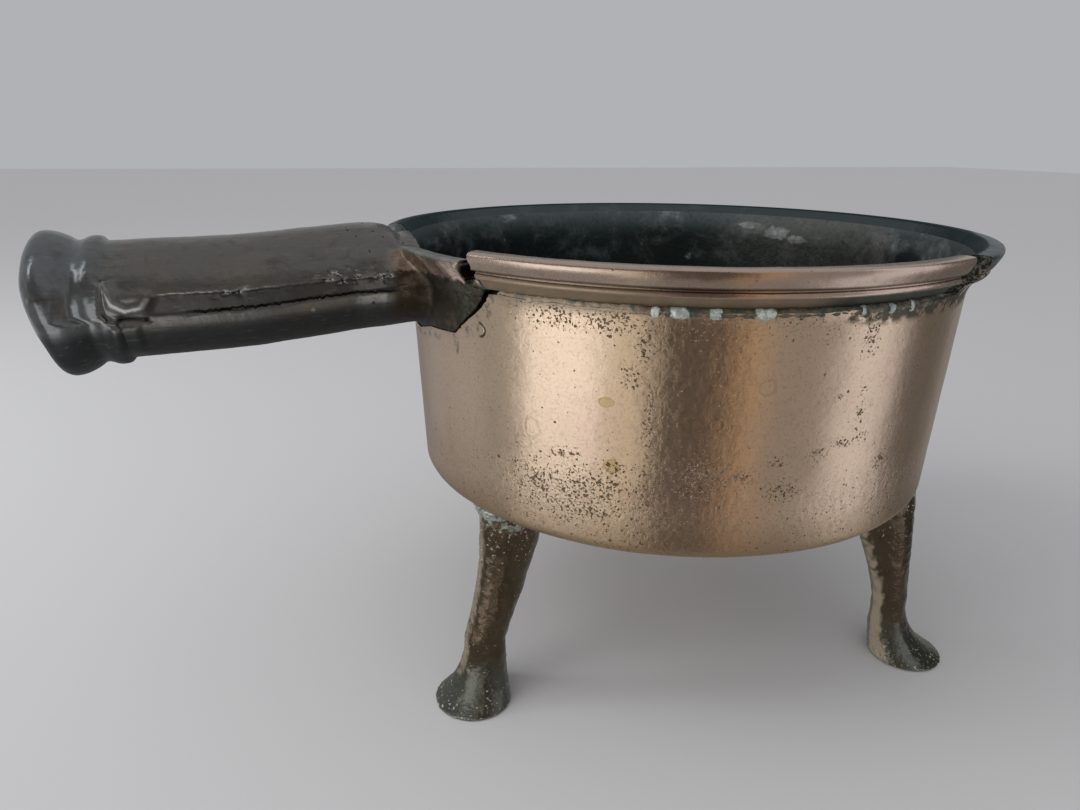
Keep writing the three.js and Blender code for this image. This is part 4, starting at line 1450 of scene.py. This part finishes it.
def broken_share(co, n):
    """1 on the patch's own side of the crack, whose face is painted near-black as shade."""
    angle, reach = around(co)
    radial = polar(1, HANDLE_ANGLE + math.radians(angle), 0) - AXIS
    sideways = n.dot(Vector((-radial.y, radial.x, 0)))
    depth = RIM_TOP - co.z
    on_wall = smoothstep(89 * MM, 86 * MM, reach) * smoothstep(0.5 * MM, 2 * MM, depth)
    return smoothstep(0.55, 0.85, sideways) * (angle > 16) * on_wall


# dents and lumps of the handle: height (mm) and where
HANDLE_RELIEF = [
    (-0.85, flutes), (-0.7, near_side(flat_strip)), (-0.5, near_side(open_seam)), (1.15, near_side(curl)),
    (-1.3, near_side(notch)), (0.9, near_side(boss)), (-0.6, knocks),
]


# ------------------------------------------------------------------ shapes of the legs

ANKLE_FACE = 3.2 * MM       # the ankle's outer face stands this far outside the bowl's foot
ANKLE_DEPTH = 10.4 * MM
ANKLE_HEIGHT = 19.5 * MM
HEEL_INSET = 6.4 * MM       # the back of the foot stands this far inside the bowl's foot
FOOT_DEPTH = 23.4 * MM
FOOT_EDGE = 2.6 * MM
SOLE_INSET = 1.2 * MM
TOP_DEPTH = 23 * MM
TOP_WIDTH = 16.8 * MM
LEG_SIDES = 48


def leg_sections(inset, splay):
    """Height, back, front and width of a leg, from the sole up."""
    bowl, legs = chosen().bowl, chosen().legs
    face, ankle_depth = bowl.foot + ANKLE_FACE + splay, ANKLE_DEPTH + 0.55 * splay
    heel = bowl.foot - HEEL_INSET
    toe, back = heel + FOOT_DEPTH, face - ankle_depth
    rows = [(0.0, heel + SOLE_INSET, toe - SOLE_INSET, legs.foot - 2 * SOLE_INSET)]
    for share in (0.12, 0.3, 0.55, 0.85, 1.2, 1.6, 2.1, 2.7, 3.4, 4.2, 5.1, 6.1):
        height = share * FOOT_EDGE
        flare = (1 - height / ANKLE_HEIGHT) ** 2.7
        rows.append((height, mix(back, heel, flare), mix(face, toe, flare), mix(legs.ankle, legs.foot, flare)))
    top, steps = bowl.foot + 0.2 * MM, 14
    for i in range(steps + 1):
        t = i / steps
        front = mix(face, top, t) - 0.7 * splay * math.sin(math.pi * t)
        back = front - mix(ankle_depth, TOP_DEPTH, t ** 1.25)
        rows.append((mix(ANKLE_HEIGHT, UNDERSIDE, t), back, front, mix(legs.ankle, TOP_WIDTH, t ** 2)))
    for rise, front, width in ((1.5, 0.4, 15.6), (3, 1.0, 13.4)):
        rows.append((UNDERSIDE + rise * MM, top - TOP_DEPTH, top - front * MM, width * MM))
    return [(z, low - inset, high - inset, width) for z, low, high, width in rows]


def leg_body(name, sections, grow=lambda z: 0.0):
    """A body through the sections, each of them made larger all round by what its height gives."""
    rings = []
    for z, back, front, width in sections:
        centre = Vector((AXIS.x + (back + front) / 2, AXIS.y, z))
        rings.append((centre, (front - back) / 2 + grow(z), width / 2 + grow(z)))
    return ring_body(name, rings, LEG_SIDES)


def turn_about_axis(piece, degrees):
    """Turns a piece that was made along +X round the bowl's axis."""
    turn = HANDLE_ANGLE + math.radians(degrees)
    move = Matrix.Translation(AXIS) @ Matrix.Rotation(turn, 4, "Z") @ Matrix.Translation(-AXIS)
    piece.location = move.to_translation()
    piece.rotation_euler = move.to_euler()
    only(piece)
    bpy.ops.object.transform_apply(location=True, rotation=True, scale=True)


def cut_to_bowl(piece):
    """Takes away what lies inside the bowl's outer surface."""
    outside = [(r, z) for r, z in outer_profile() if r > 1] + [(60, -7), (2, -7)]
    combine(piece, turned("outside of the bowl", outside, sides=CUTTER_SIDES), "DIFFERENCE")


def above_sole(co, n):
    rise = (0.6 * MM, 3.0 * MM)
    return within(co.z, rise, (UNDERSIDE + 2 * MM, UNDERSIDE - 3 * MM))


def painted_ridge_highlight(co, n):
    """Painted highlight down the side of a leg that faces the handle's direction, below the bowl."""
    turn = HANDLE_ANGLE + math.radians(4)
    facing = n.dot(Vector((math.cos(turn), math.sin(turn), 0.05)))
    below_bowl = smoothstep(UNDERSIDE, UNDERSIDE - 12 * MM, co.z)
    return smoothstep(0.88, 0.985, facing) * below_bowl * (around(co)[1] > 60 * MM)


# ------------------------------------------------------------------ operators

BREAK_EARLY, BREAK_LATE = 1.6, 0.8     # the gap in the lip starts before the crack and ends after the piece, degrees
WALL_FINISH, LINING_FINISH, LIP_FINISH, FRACTURE_FINISH = range(4)


def below_neck(co, n):
    return smoothstep(RIM_TOP - 14 * MM, RIM_TOP - 22 * MM, co.z)


def finish_of(face):
    """Which of the bowl's materials a face has, by its place and direction."""
    bowl = chosen().bowl
    reach, depth = around(face.center)[1], RIM_TOP - face.center.z
    radial = outward(face.center)
    sideways = abs(face.normal.dot(Vector((-radial.y, radial.x, 0))))
    on_ledge = face.normal.z > 0.6 and 5 * MM < depth < 20 * MM and reach > bowl.neck - bowl.wall + 0.3 * MM
    if sideways > 0.5 or on_ledge:
        return FRACTURE_FINISH
    if depth < 2.6 * MM and reach > 82.6 * MM:
        return LIP_FINISH
    inside = (face.normal.dot(radial) < 0.2 and reach < 84.4 * MM) or reach < 76 * MM
    above_floor = face.center.z > UNDERSIDE + bowl.floor - 1 * MM
    return LINING_FINISH if inside and above_floor else WALL_FINISH


class BuildBowl(bpy.types.Operator):
    """Turns the bowl, breaks the front of its lip away and opens the crack round the handle's patch."""
    bl_idname = "skillet.build_bowl"
    bl_label = "Bowl"

    def execute(self, context):
        bowl, lip = chosen().bowl, chosen().lip
        piece = casting("bowl_shell", [COVE_TOP] + lip_profile())
        roughen(piece, "wall ripples", 15 * MM, bowl.ripple, weight=below_neck)
        start, end = CRACK[0][1] - BREAK_EARLY, math.degrees(lip.end) + BREAK_LATE
        depth = (SEGMENT_DEPTH + 0.1) * MM
        gap = lip_sector("break", start, end, depth, ragged=0.3 * MM, slant=6, grit=0.35 * MM)
        combine(piece, gap, "DIFFERENCE")
        combine(piece, wedge("hole", crack_rows(-1)), "DIFFERENCE")
        tidy_shell(piece)
        unroll(piece)
        for material in (polished_bronze(), tarnished_lining(), worn_lip(), fracture_metal()):
            piece.data.materials.append(material)
        for face in piece.data.polygons:
            face.material_index = finish_of(face)
        smooth_faces(piece, 35)
        finish_piece(piece, [], ["bowl"])
        return {"FINISHED"}


class BuildRimSegment(bpy.types.Operator):
    """Cuts the broken piece of lip out of a turned ring and sets it a little inside its old place."""
    bl_idname = "skillet.build_rim_segment"
    bl_label = "Broken piece of lip"

    def execute(self, context):
        lip = chosen().lip
        outer = [p for p in outer_profile() if p[1] > -SEGMENT_DEPTH]
        inner = [p for p in inner_profile() if p[1] > -SEGMENT_DEPTH]
        ring = turned("lip_piece", outer + lip_profile()[1:] + inner, bridge=True)
        start, end = math.degrees(lip.start), math.degrees(lip.end)
        combine(ring, lip_sector("keep", start, end, 15 * MM, grit=0.3 * MM), "INTERSECT")
        roughen(ring, "old knocks", 5 * MM, 0.16 * MM)
        middle = HANDLE_ANGLE + (lip.start + lip.end) / 2
        ring.location = (-lip.inward * math.cos(middle), -lip.inward * math.sin(middle), lip.lift)
        only(ring)
        bpy.ops.object.transform_apply(location=True, rotation=True, scale=True)
        tidy_shell(ring)
        smooth_faces(ring, 40)
        finish_piece(ring, [segment_bronze()], ["rim_segment"])
        return {"FINISHED"}


SOLDER_RUN = (33.0, 112.6)      # degrees from the handle
SOLDER_DABS = [(60.7, 0.8), (64.3, 1.7), (69.7, 1.1), (77.0, 1.9), (93.4, 0.5), (99.2, 0.7), (104.0, 0.6)]


def dab(angle):
    """How much of a dab of solder lies at an angle from the handle; each dab has its angle and half width."""
    return max(math.exp(-(((angle - at) / (0.85 * wide)) ** 4)) for at, wide in SOLDER_DABS)


class BuildRimSolder(bpy.types.Operator):
    """Runs a lumpy seam of solder along the neck under the broken piece."""
    bl_idname = "skillet.build_rim_solder"
    bl_label = "Solder under the lip"

    def execute(self, context):
        seam = chosen().solder.seam
        rows = []
        start, end = SOLDER_RUN
        steps = 300
        for i in range(steps + 1):
            angle = mix(start, end, i / steps)
            plain_size = mix(0.32, 0.46, smoothstep(54, 60, angle))
            taper = min(1, 0.15 + min(i, steps - i) / 16)
            size = (plain_size + 0.42 * dab(angle) + 0.12 * uneven(angle * 1.3)) * taper
            turn = HANDLE_ANGLE + math.radians(angle)
            thick, tall = seam * size, 1.5 * MM * size
            inside, outside = 81.6 * MM, 82.95 * MM + thick
            height = RIM_TOP - (SEGMENT_DEPTH + 0.8) * MM
            rows.append([
                polar(inside, turn, height - tall), polar(outside - 0.5 * tall, turn, height - tall),
                polar(outside, turn, height + 0.7 * tall), polar(inside, turn, RIM_TOP - (SEGMENT_DEPTH - 1.2) * MM),
            ])
        piece = wedge("solder_seam", rows)
        apply_modifier(piece, "SUBSURF", levels=2, render_levels=2)
        apply_modifier(piece, "REMESH", mode="VOXEL", voxel_size=0.28 * MM)
        roughen(piece, "solder lumps", 1.4 * MM, 0.8 * MM)
        apply_modifier(piece, "SMOOTH", factor=0.5, iterations=1)
        smooth_faces(piece, 60)
        note(piece, "bright", lambda co, n: dab(around(co)[0]))
        material = corroded_solder("rim solder", chosen().solder.metal, 0.5, dabs=True)
        finish_piece(piece, [material], ["rim_solder"])
        return {"FINISHED"}


class BuildHandle(bpy.types.Operator):
    """Casts the handle with ring and knob, its slipped mould halves and the patch of wall broken out with it."""
    bl_idname = "skillet.build_handle"
    bl_label = "Handle"

    def join_patch(self, piece):
        """Joins on the piece of wall, with a worn lip toward the break and a sound one on the far side."""
        lip = chosen().lip
        near = lip_sector("near side", 0, 40, 40 * MM)
        for name, profile, operation in (
            ("sound patch", lip_profile(), "DIFFERENCE"),
            ("worn patch", worn_profile(lip.sag / MM, lip.wear / MM), "INTERSECT"),
        ):
            patch = casting(name, [COVE_TOP] + profile, sides=CUTTER_SIDES)
            combine(patch, wedge("patch", crack_rows(1)), "INTERSECT")
            combine(patch, near, operation, keep=True)
            combine(piece, patch, "UNION")
        bpy.data.objects.remove(near)

    def execute(self, context):
        piece = barrel()
        mouth = [(2, 20), (40, 20), (82.8, 20), THROAT] + inner_profile()
        combine(piece, turned("mouth", mouth, sides=CUTTER_SIDES), "DIFFERENCE")
        self.join_patch(piece)
        apply_modifier(piece, "REMESH", mode="VOXEL", voxel_size=chosen().handle.skin)
        apply_modifier(piece, "SMOOTH", factor=0.6, iterations=90, vertex_group=weigh(piece, "root", root_hollow))
        apply_modifier(piece, "SMOOTH", factor=0.5, iterations=1)
        for height, where in HANDLE_RELIEF:
            push(piece, height * MM, where)
        roughen(piece, "cast skin", 9 * MM, 0.3 * MM)
        roughen(piece, "fine skin", 2.2 * MM, 0.1 * MM)
        note(piece, "up", lambda co, n: on_handle(co)[1] / MM)
        note(piece, "knocked", knocks)
        # where the painted highlight along the tongue's crest falls
        note(piece, "crest", near_side(curl))
        note(piece, "broken", broken_share)
        note(piece, "patch", patch_share)
        smooth_faces(piece, 60)
        finish_piece(piece, [dark_bronze(), bpy.data.materials["tarnished lining"]], ["handle"])
        for face in piece.data.polygons:
            if face.normal.dot(outward(face.center)) < -0.4 and around(face.center)[1] < 84 * MM:
                face.material_index = 1
        return {"FINISHED"}


class BuildLegs(bpy.types.Operator):
    """Casts the three splayed legs with their rough skins."""
    bl_idname = "skillet.build_legs"
    bl_label = "Legs"

    def execute(self, context):
        rough = chosen().legs.roughness
        material = rough_bronze()
        for number, (name, (angle, inset, splay)) in enumerate(LEGS.items()):
            piece = leg_body(f"{name}_leg", leg_sections(inset * MM, splay * MM))
            turn_about_axis(piece, angle)
            cut_to_bowl(piece)
            apply_modifier(piece, "REMESH", mode="VOXEL", voxel_size=0.5 * MM)
            roughen(piece, f"leg lumps {number}", 7 * MM, rough * 1.3, weight=above_sole)
            roughen(piece, f"leg skin {number}", 2.0 * MM, rough * 0.8, weight=above_sole)
            apply_modifier(piece, "SMOOTH", factor=0.5, iterations=2)
            smooth_faces(piece, 60)
            # the ridge attribute holds where the painted highlight runs down each leg
            note(piece, "ridge", painted_ridge_highlight)
            finish_piece(piece, [material], [f"leg_{name}"])
        return {"FINISHED"}


class BuildLegSolder(bpy.types.Operator):
    """Lays the crusted bead of braze round the top of each leg."""
    bl_idname = "skillet.build_leg_solder"
    bl_label = "Braze round the legs"

    def execute(self, context):
        def lumpy(co, n):
            return smoothstep(UNDERSIDE + 1.2 * MM, UNDERSIDE - 0.6 * MM, co.z)

        material = corroded_solder("leg braze", BRAZE_PALE, 0.50)
        low, high = UNDERSIDE - 5 * MM, UNDERSIDE + 2 * MM
        rise, fall = (UNDERSIDE - 4.4 * MM, UNDERSIDE - 0.8 * MM), (UNDERSIDE + 1.6 * MM, UNDERSIDE)
        for number, (name, (angle, inset, splay)) in enumerate(LEGS.items()):
            thin = name == "right"
            bead = chosen().solder.bead * (0.3 if thin else 1)
            rows = [row for row in leg_sections(inset * MM, splay * MM) if low < row[0] < high]
            piece = leg_body(f"{name}_leg_braze", rows, lambda z: mix(-0.5 * MM, bead, within(z, rise, fall)))
            turn_about_axis(piece, angle)
            apply_modifier(piece, "REMESH", mode="VOXEL", voxel_size=0.36 * MM)
            roughen(piece, f"braze lumps {number}", 2.2 * MM, (0.5 if thin else 1.2) * MM, weight=lumpy)
            cut_to_bowl(piece)
            smooth_faces(piece, 60)
            finish_piece(piece, [material], [f"leg_solder_{name}"])
        return {"FINISHED"}


# ------------------------------------------------------------------ stage

def plain(name, colour):
    material = bpy.data.materials.new(name)
    material.use_nodes = True
    shader = material.node_tree.nodes["Principled BSDF"]
    shader.inputs["Base Color"].default_value = (*colour, 1)
    shader.inputs["Roughness"].default_value = 0.9
    shader.inputs["Specular IOR Level"].default_value = 0.1
    return material


def screen(name, azimuth, width, strength, tone, low, high, distance):
    """A curved studio panel round the object that only polished metal sees.

    The azimuth of its middle and its width are in degrees, counter-clockwise from +X.
    """
    deselect_all()
    start = math.radians(azimuth + width / 2)
    bpy.ops.mesh.primitive_plane_add(size=1 * MM, location=(AXIS.x, AXIS.y, 0))
    card = bpy.context.object
    card.name = name
    edit(card)
    bpy.ops.mesh.merge(type="CENTER")
    bpy.ops.mesh.select_all(action="SELECT")
    bpy.ops.transform.translate(value=(distance * math.cos(start), distance * math.sin(start), low))
    bpy.ops.mesh.extrude_region_move(TRANSFORM_OT_translate={"value": (0, 0, high - low)})
    bpy.ops.mesh.select_all(action="SELECT")
    steps = max(2, round(width / 3))
    bpy.ops.mesh.spin(steps=steps, angle=math.radians(width), center=(AXIS.x, AXIS.y, 0), axis=(0, 0, 1))
    done(card)
    only_in_metal(card, tone, strength)


def only_in_metal(card, tone, strength):
    """Makes a studio panel of even light that shows in reflections alone."""
    material = bpy.data.materials.new(card.name)
    material.use_nodes = True
    shader = material.node_tree.nodes["Principled BSDF"]
    shader.inputs["Base Color"].default_value = (0.01, 0.01, 0.01, 1)
    shader.inputs["Specular IOR Level"].default_value = 0
    shader.inputs["Emission Color"].default_value = (*tone, 1)
    shader.inputs["Emission Strength"].default_value = strength
    card.data.materials.append(material)
    card.visible_camera = card.visible_diffuse = card.visible_shadow = card.visible_transmission = False


def lamp(name, azimuth, distance, height, width, tall, watts, colour):
    """A soft lamp that looks at the bowl and that metal doesn't mirror."""
    light = bpy.data.lights.new(name, "AREA")
    light.shape = "RECTANGLE"
    light.size, light.size_y = width, tall
    light.energy = watts
    light.color = colour
    body = bpy.data.objects.new(name, light)
    bpy.context.scene.collection.objects.link(body)
    turn = math.radians(azimuth)
    body.location = (AXIS.x + distance * math.cos(turn), AXIS.y + distance * math.sin(turn), height)
    look = Vector((AXIS.x, AXIS.y, 0.08)) - Vector(body.location)
    body.rotation_euler = look.to_track_quat("-Z", "Y").to_euler()
    body.visible_glossy = False


SKY_LIGHT, SKY_SEEN = (0.50, 0.50, 0.51), (0.44, 0.445, 0.46)
ABOVE_FLOOR, SILL, PANEL_TOP = 0.004, 0.133, 0.21
NEAR_PANEL, FAR_PANEL = 0.15, 0.205

# panels that the polished wall reflects, from the handle's side round the front to the right:
# name, azimuth of the middle, width (degrees), strength, tint, bottom, top and distance from the axis (metres)
PANELS = [
    ("far left wall", 155, 40, 0.48, (0.97, 0.98, 1.06), ABOVE_FLOOR, SILL, FAR_PANEL),
    ("window frame", 185, 20, 0.36, (1, 1, 1), ABOVE_FLOOR, SILL, FAR_PANEL),
    ("window light", 209, 28, 1.36, (1.0, 1.0, 1.03), ABOVE_FLOOR, SILL, FAR_PANEL),
    ("shade", 221, 68, 0.19, (1.04, 1.0, 0.95), SILL, 0.215, FAR_PANEL),
    ("warm wall", 231.8, 11.6, 0.70, (1.05, 1.0, 0.9), ABOVE_FLOOR, SILL, NEAR_PANEL),
    ("dark flag", 250.0, 24.4, 0.08, (1.2, 1.0, 0.95), ABOVE_FLOOR, PANEL_TOP, NEAR_PANEL),
    ("warm card", 265, 7.0, 0.40, (1.4, 1.0, 0.65), ABOVE_FLOOR, PANEL_TOP, NEAR_PANEL),
    ("room", 280.5, 24, 0.285, (1.06, 1.0, 0.99), ABOVE_FLOOR, PANEL_TOP, NEAR_PANEL),
    ("right strip", 303.5, 22, 0.78, (1.0, 1.0, 1.09), ABOVE_FLOOR, PANEL_TOP, NEAR_PANEL),
    ("right flag", 331, 33, 0.12, (1.05, 1.0, 0.95), ABOVE_FLOOR, PANEL_TOP, NEAR_PANEL),
    ("back wall", 65, 120, 0.13, (0.9, 1.0, 1.03), 0.11, 0.20, 0.13),
    ("bright pane", 187, 3, 3.0, (0.95, 0.98, 1.05), 0.15, 0.21, 0.2),
]

CAMERA_AT = Vector((-0.069805, -0.226778, 0.159655))
CAMERA_YAW, CAMERA_PITCH, CAMERA_ROLL = -0.167651, 0.331315, -0.0097445
VIEW_TURN = math.radians(-27)


class SetStage(bpy.types.Operator):
    """Pale floor and backdrop, soft lights and the camera."""
    bl_idname = "skillet.set_stage"
    bl_label = "Stage"

    def execute(self, context):
        scene = context.scene
        stage = chosen().stage
        deselect_all()
        bpy.ops.mesh.primitive_plane_add(size=8, location=(0, 0, 0))
        floor = context.object
        floor.name = "floor"
        bpy.ops.object.transform_apply(location=True, rotation=True, scale=True)
        floor.data.materials.append(plain("pale floor", stage.floor))
        floor.visible_glossy = False
        deselect_all()
        bpy.ops.mesh.primitive_plane_add(size=4, location=(0, 0, -1 * MM))
        table = context.object
        table.name = "dark table"
        bpy.ops.object.transform_apply(location=True, rotation=True, scale=True)
        only_in_metal(table, stage.table, 1.0)

        world = bpy.data.worlds.new("studio")
        scene.world = world
        world.use_nodes = True
        tree = world.node_tree
        path = add(tree, "LightPath")
        seen = most(path["Is Camera Ray"], path["Is Glossy Ray"])
        feed(tree.nodes["Background"].inputs["Color"], blend(seen, SKY_LIGHT, SKY_SEEN))

        sky = bpy.data.lights.new("overcast", "SUN")
        sky.energy = 0.75 * stage.key
        sky.angle = math.radians(75)
        above = bpy.data.objects.new("overcast", sky)
        scene.collection.objects.link(above)
        above.rotation_euler = (math.radians(14), math.radians(-30), 0)
        above.visible_glossy = False
        lamp("left window", 188, 0.9, 0.75, 0.7, 0.7, 3.2 * stage.key, (1, 0.99, 0.97))
        lamp("small window", 166, 0.8, 0.35, 0.16, 0.34, 1.6 * stage.key, (0.97, 0.99, 1))

        for panel in PANELS:
            screen(*panel)

        cp, sp = math.cos(CAMERA_PITCH), math.sin(CAMERA_PITCH)
        forward = Vector((math.sin(CAMERA_YAW) * cp, math.cos(CAMERA_YAW) * cp, -sp))
        right = Vector((math.cos(CAMERA_YAW), -math.sin(CAMERA_YAW), 0))
        down = forward.cross(right)
        cr, sr = math.cos(CAMERA_ROLL), math.sin(CAMERA_ROLL)
        right, down = cr * right + sr * down, -sr * right + cr * down
        turn = Matrix.Rotation(VIEW_TURN, 3, "Z")
        basis = Matrix((turn @ right, turn @ -down, turn @ -forward)).transposed()
        data = bpy.data.cameras.new("camera")
        data.sensor_fit, data.sensor_width, data.lens = "HORIZONTAL", 36, 25.99
        data.clip_start = 0.01
        camera = bpy.data.objects.new("camera", data)
        scene.collection.objects.link(camera)
        camera.matrix_world = Matrix.Translation(CAMERA_AT) @ basis.to_4x4()
        scene.camera = camera
        scene.view_settings.view_transform = "Standard"
        return {"FINISHED"}


class SkilletPanel(bpy.types.Panel):
    """Buttons and sizes for the skillet."""
    bl_idname = "VIEW3D_PT_skillet"
    bl_label = "Bronze skillet"
    bl_space_type = "VIEW_3D"
    bl_region_type = "UI"
    bl_category = "Skillet"

    def draw(self, context):
        layout = self.layout
        for operator in OPERATORS:
            layout.operator(operator.bl_idname)
        for part in ("bowl", "lip", "handle", "legs", "solder", "stage"):
            group = getattr(context.scene.skillet, part)
            box = layout.box()
            box.label(text=part.title())
            for key in group.bl_rna.properties.keys():
                if key not in ("rna_type", "name"):
                    box.prop(group, key)


SETTINGS = (BowlSettings, LipSettings, HandleSettings, LegSettings, SolderSettings, StageSettings, SkilletSettings)
OPERATORS = (BuildBowl, BuildRimSegment, BuildRimSolder, BuildHandle, BuildLegs, BuildLegSolder, SetStage)


def register():
    for item in (*SETTINGS, *OPERATORS, SkilletPanel):
        bpy.utils.register_class(item)
    bpy.types.Scene.skillet = PointerProperty(type=SkilletSettings)


def unregister():
    del bpy.types.Scene.skillet
    for item in reversed((*SETTINGS, *OPERATORS, SkilletPanel)):
        bpy.utils.unregister_class(item)


def main():
    register()
    bpy.ops.skillet.build_bowl()
    bpy.ops.skillet.build_rim_segment()
    bpy.ops.skillet.build_rim_solder()
    bpy.ops.skillet.build_handle()
    bpy.ops.skillet.build_legs()
    bpy.ops.skillet.build_leg_solder()
    bpy.ops.skillet.set_stage()


if __name__ == "__main__":
    main()
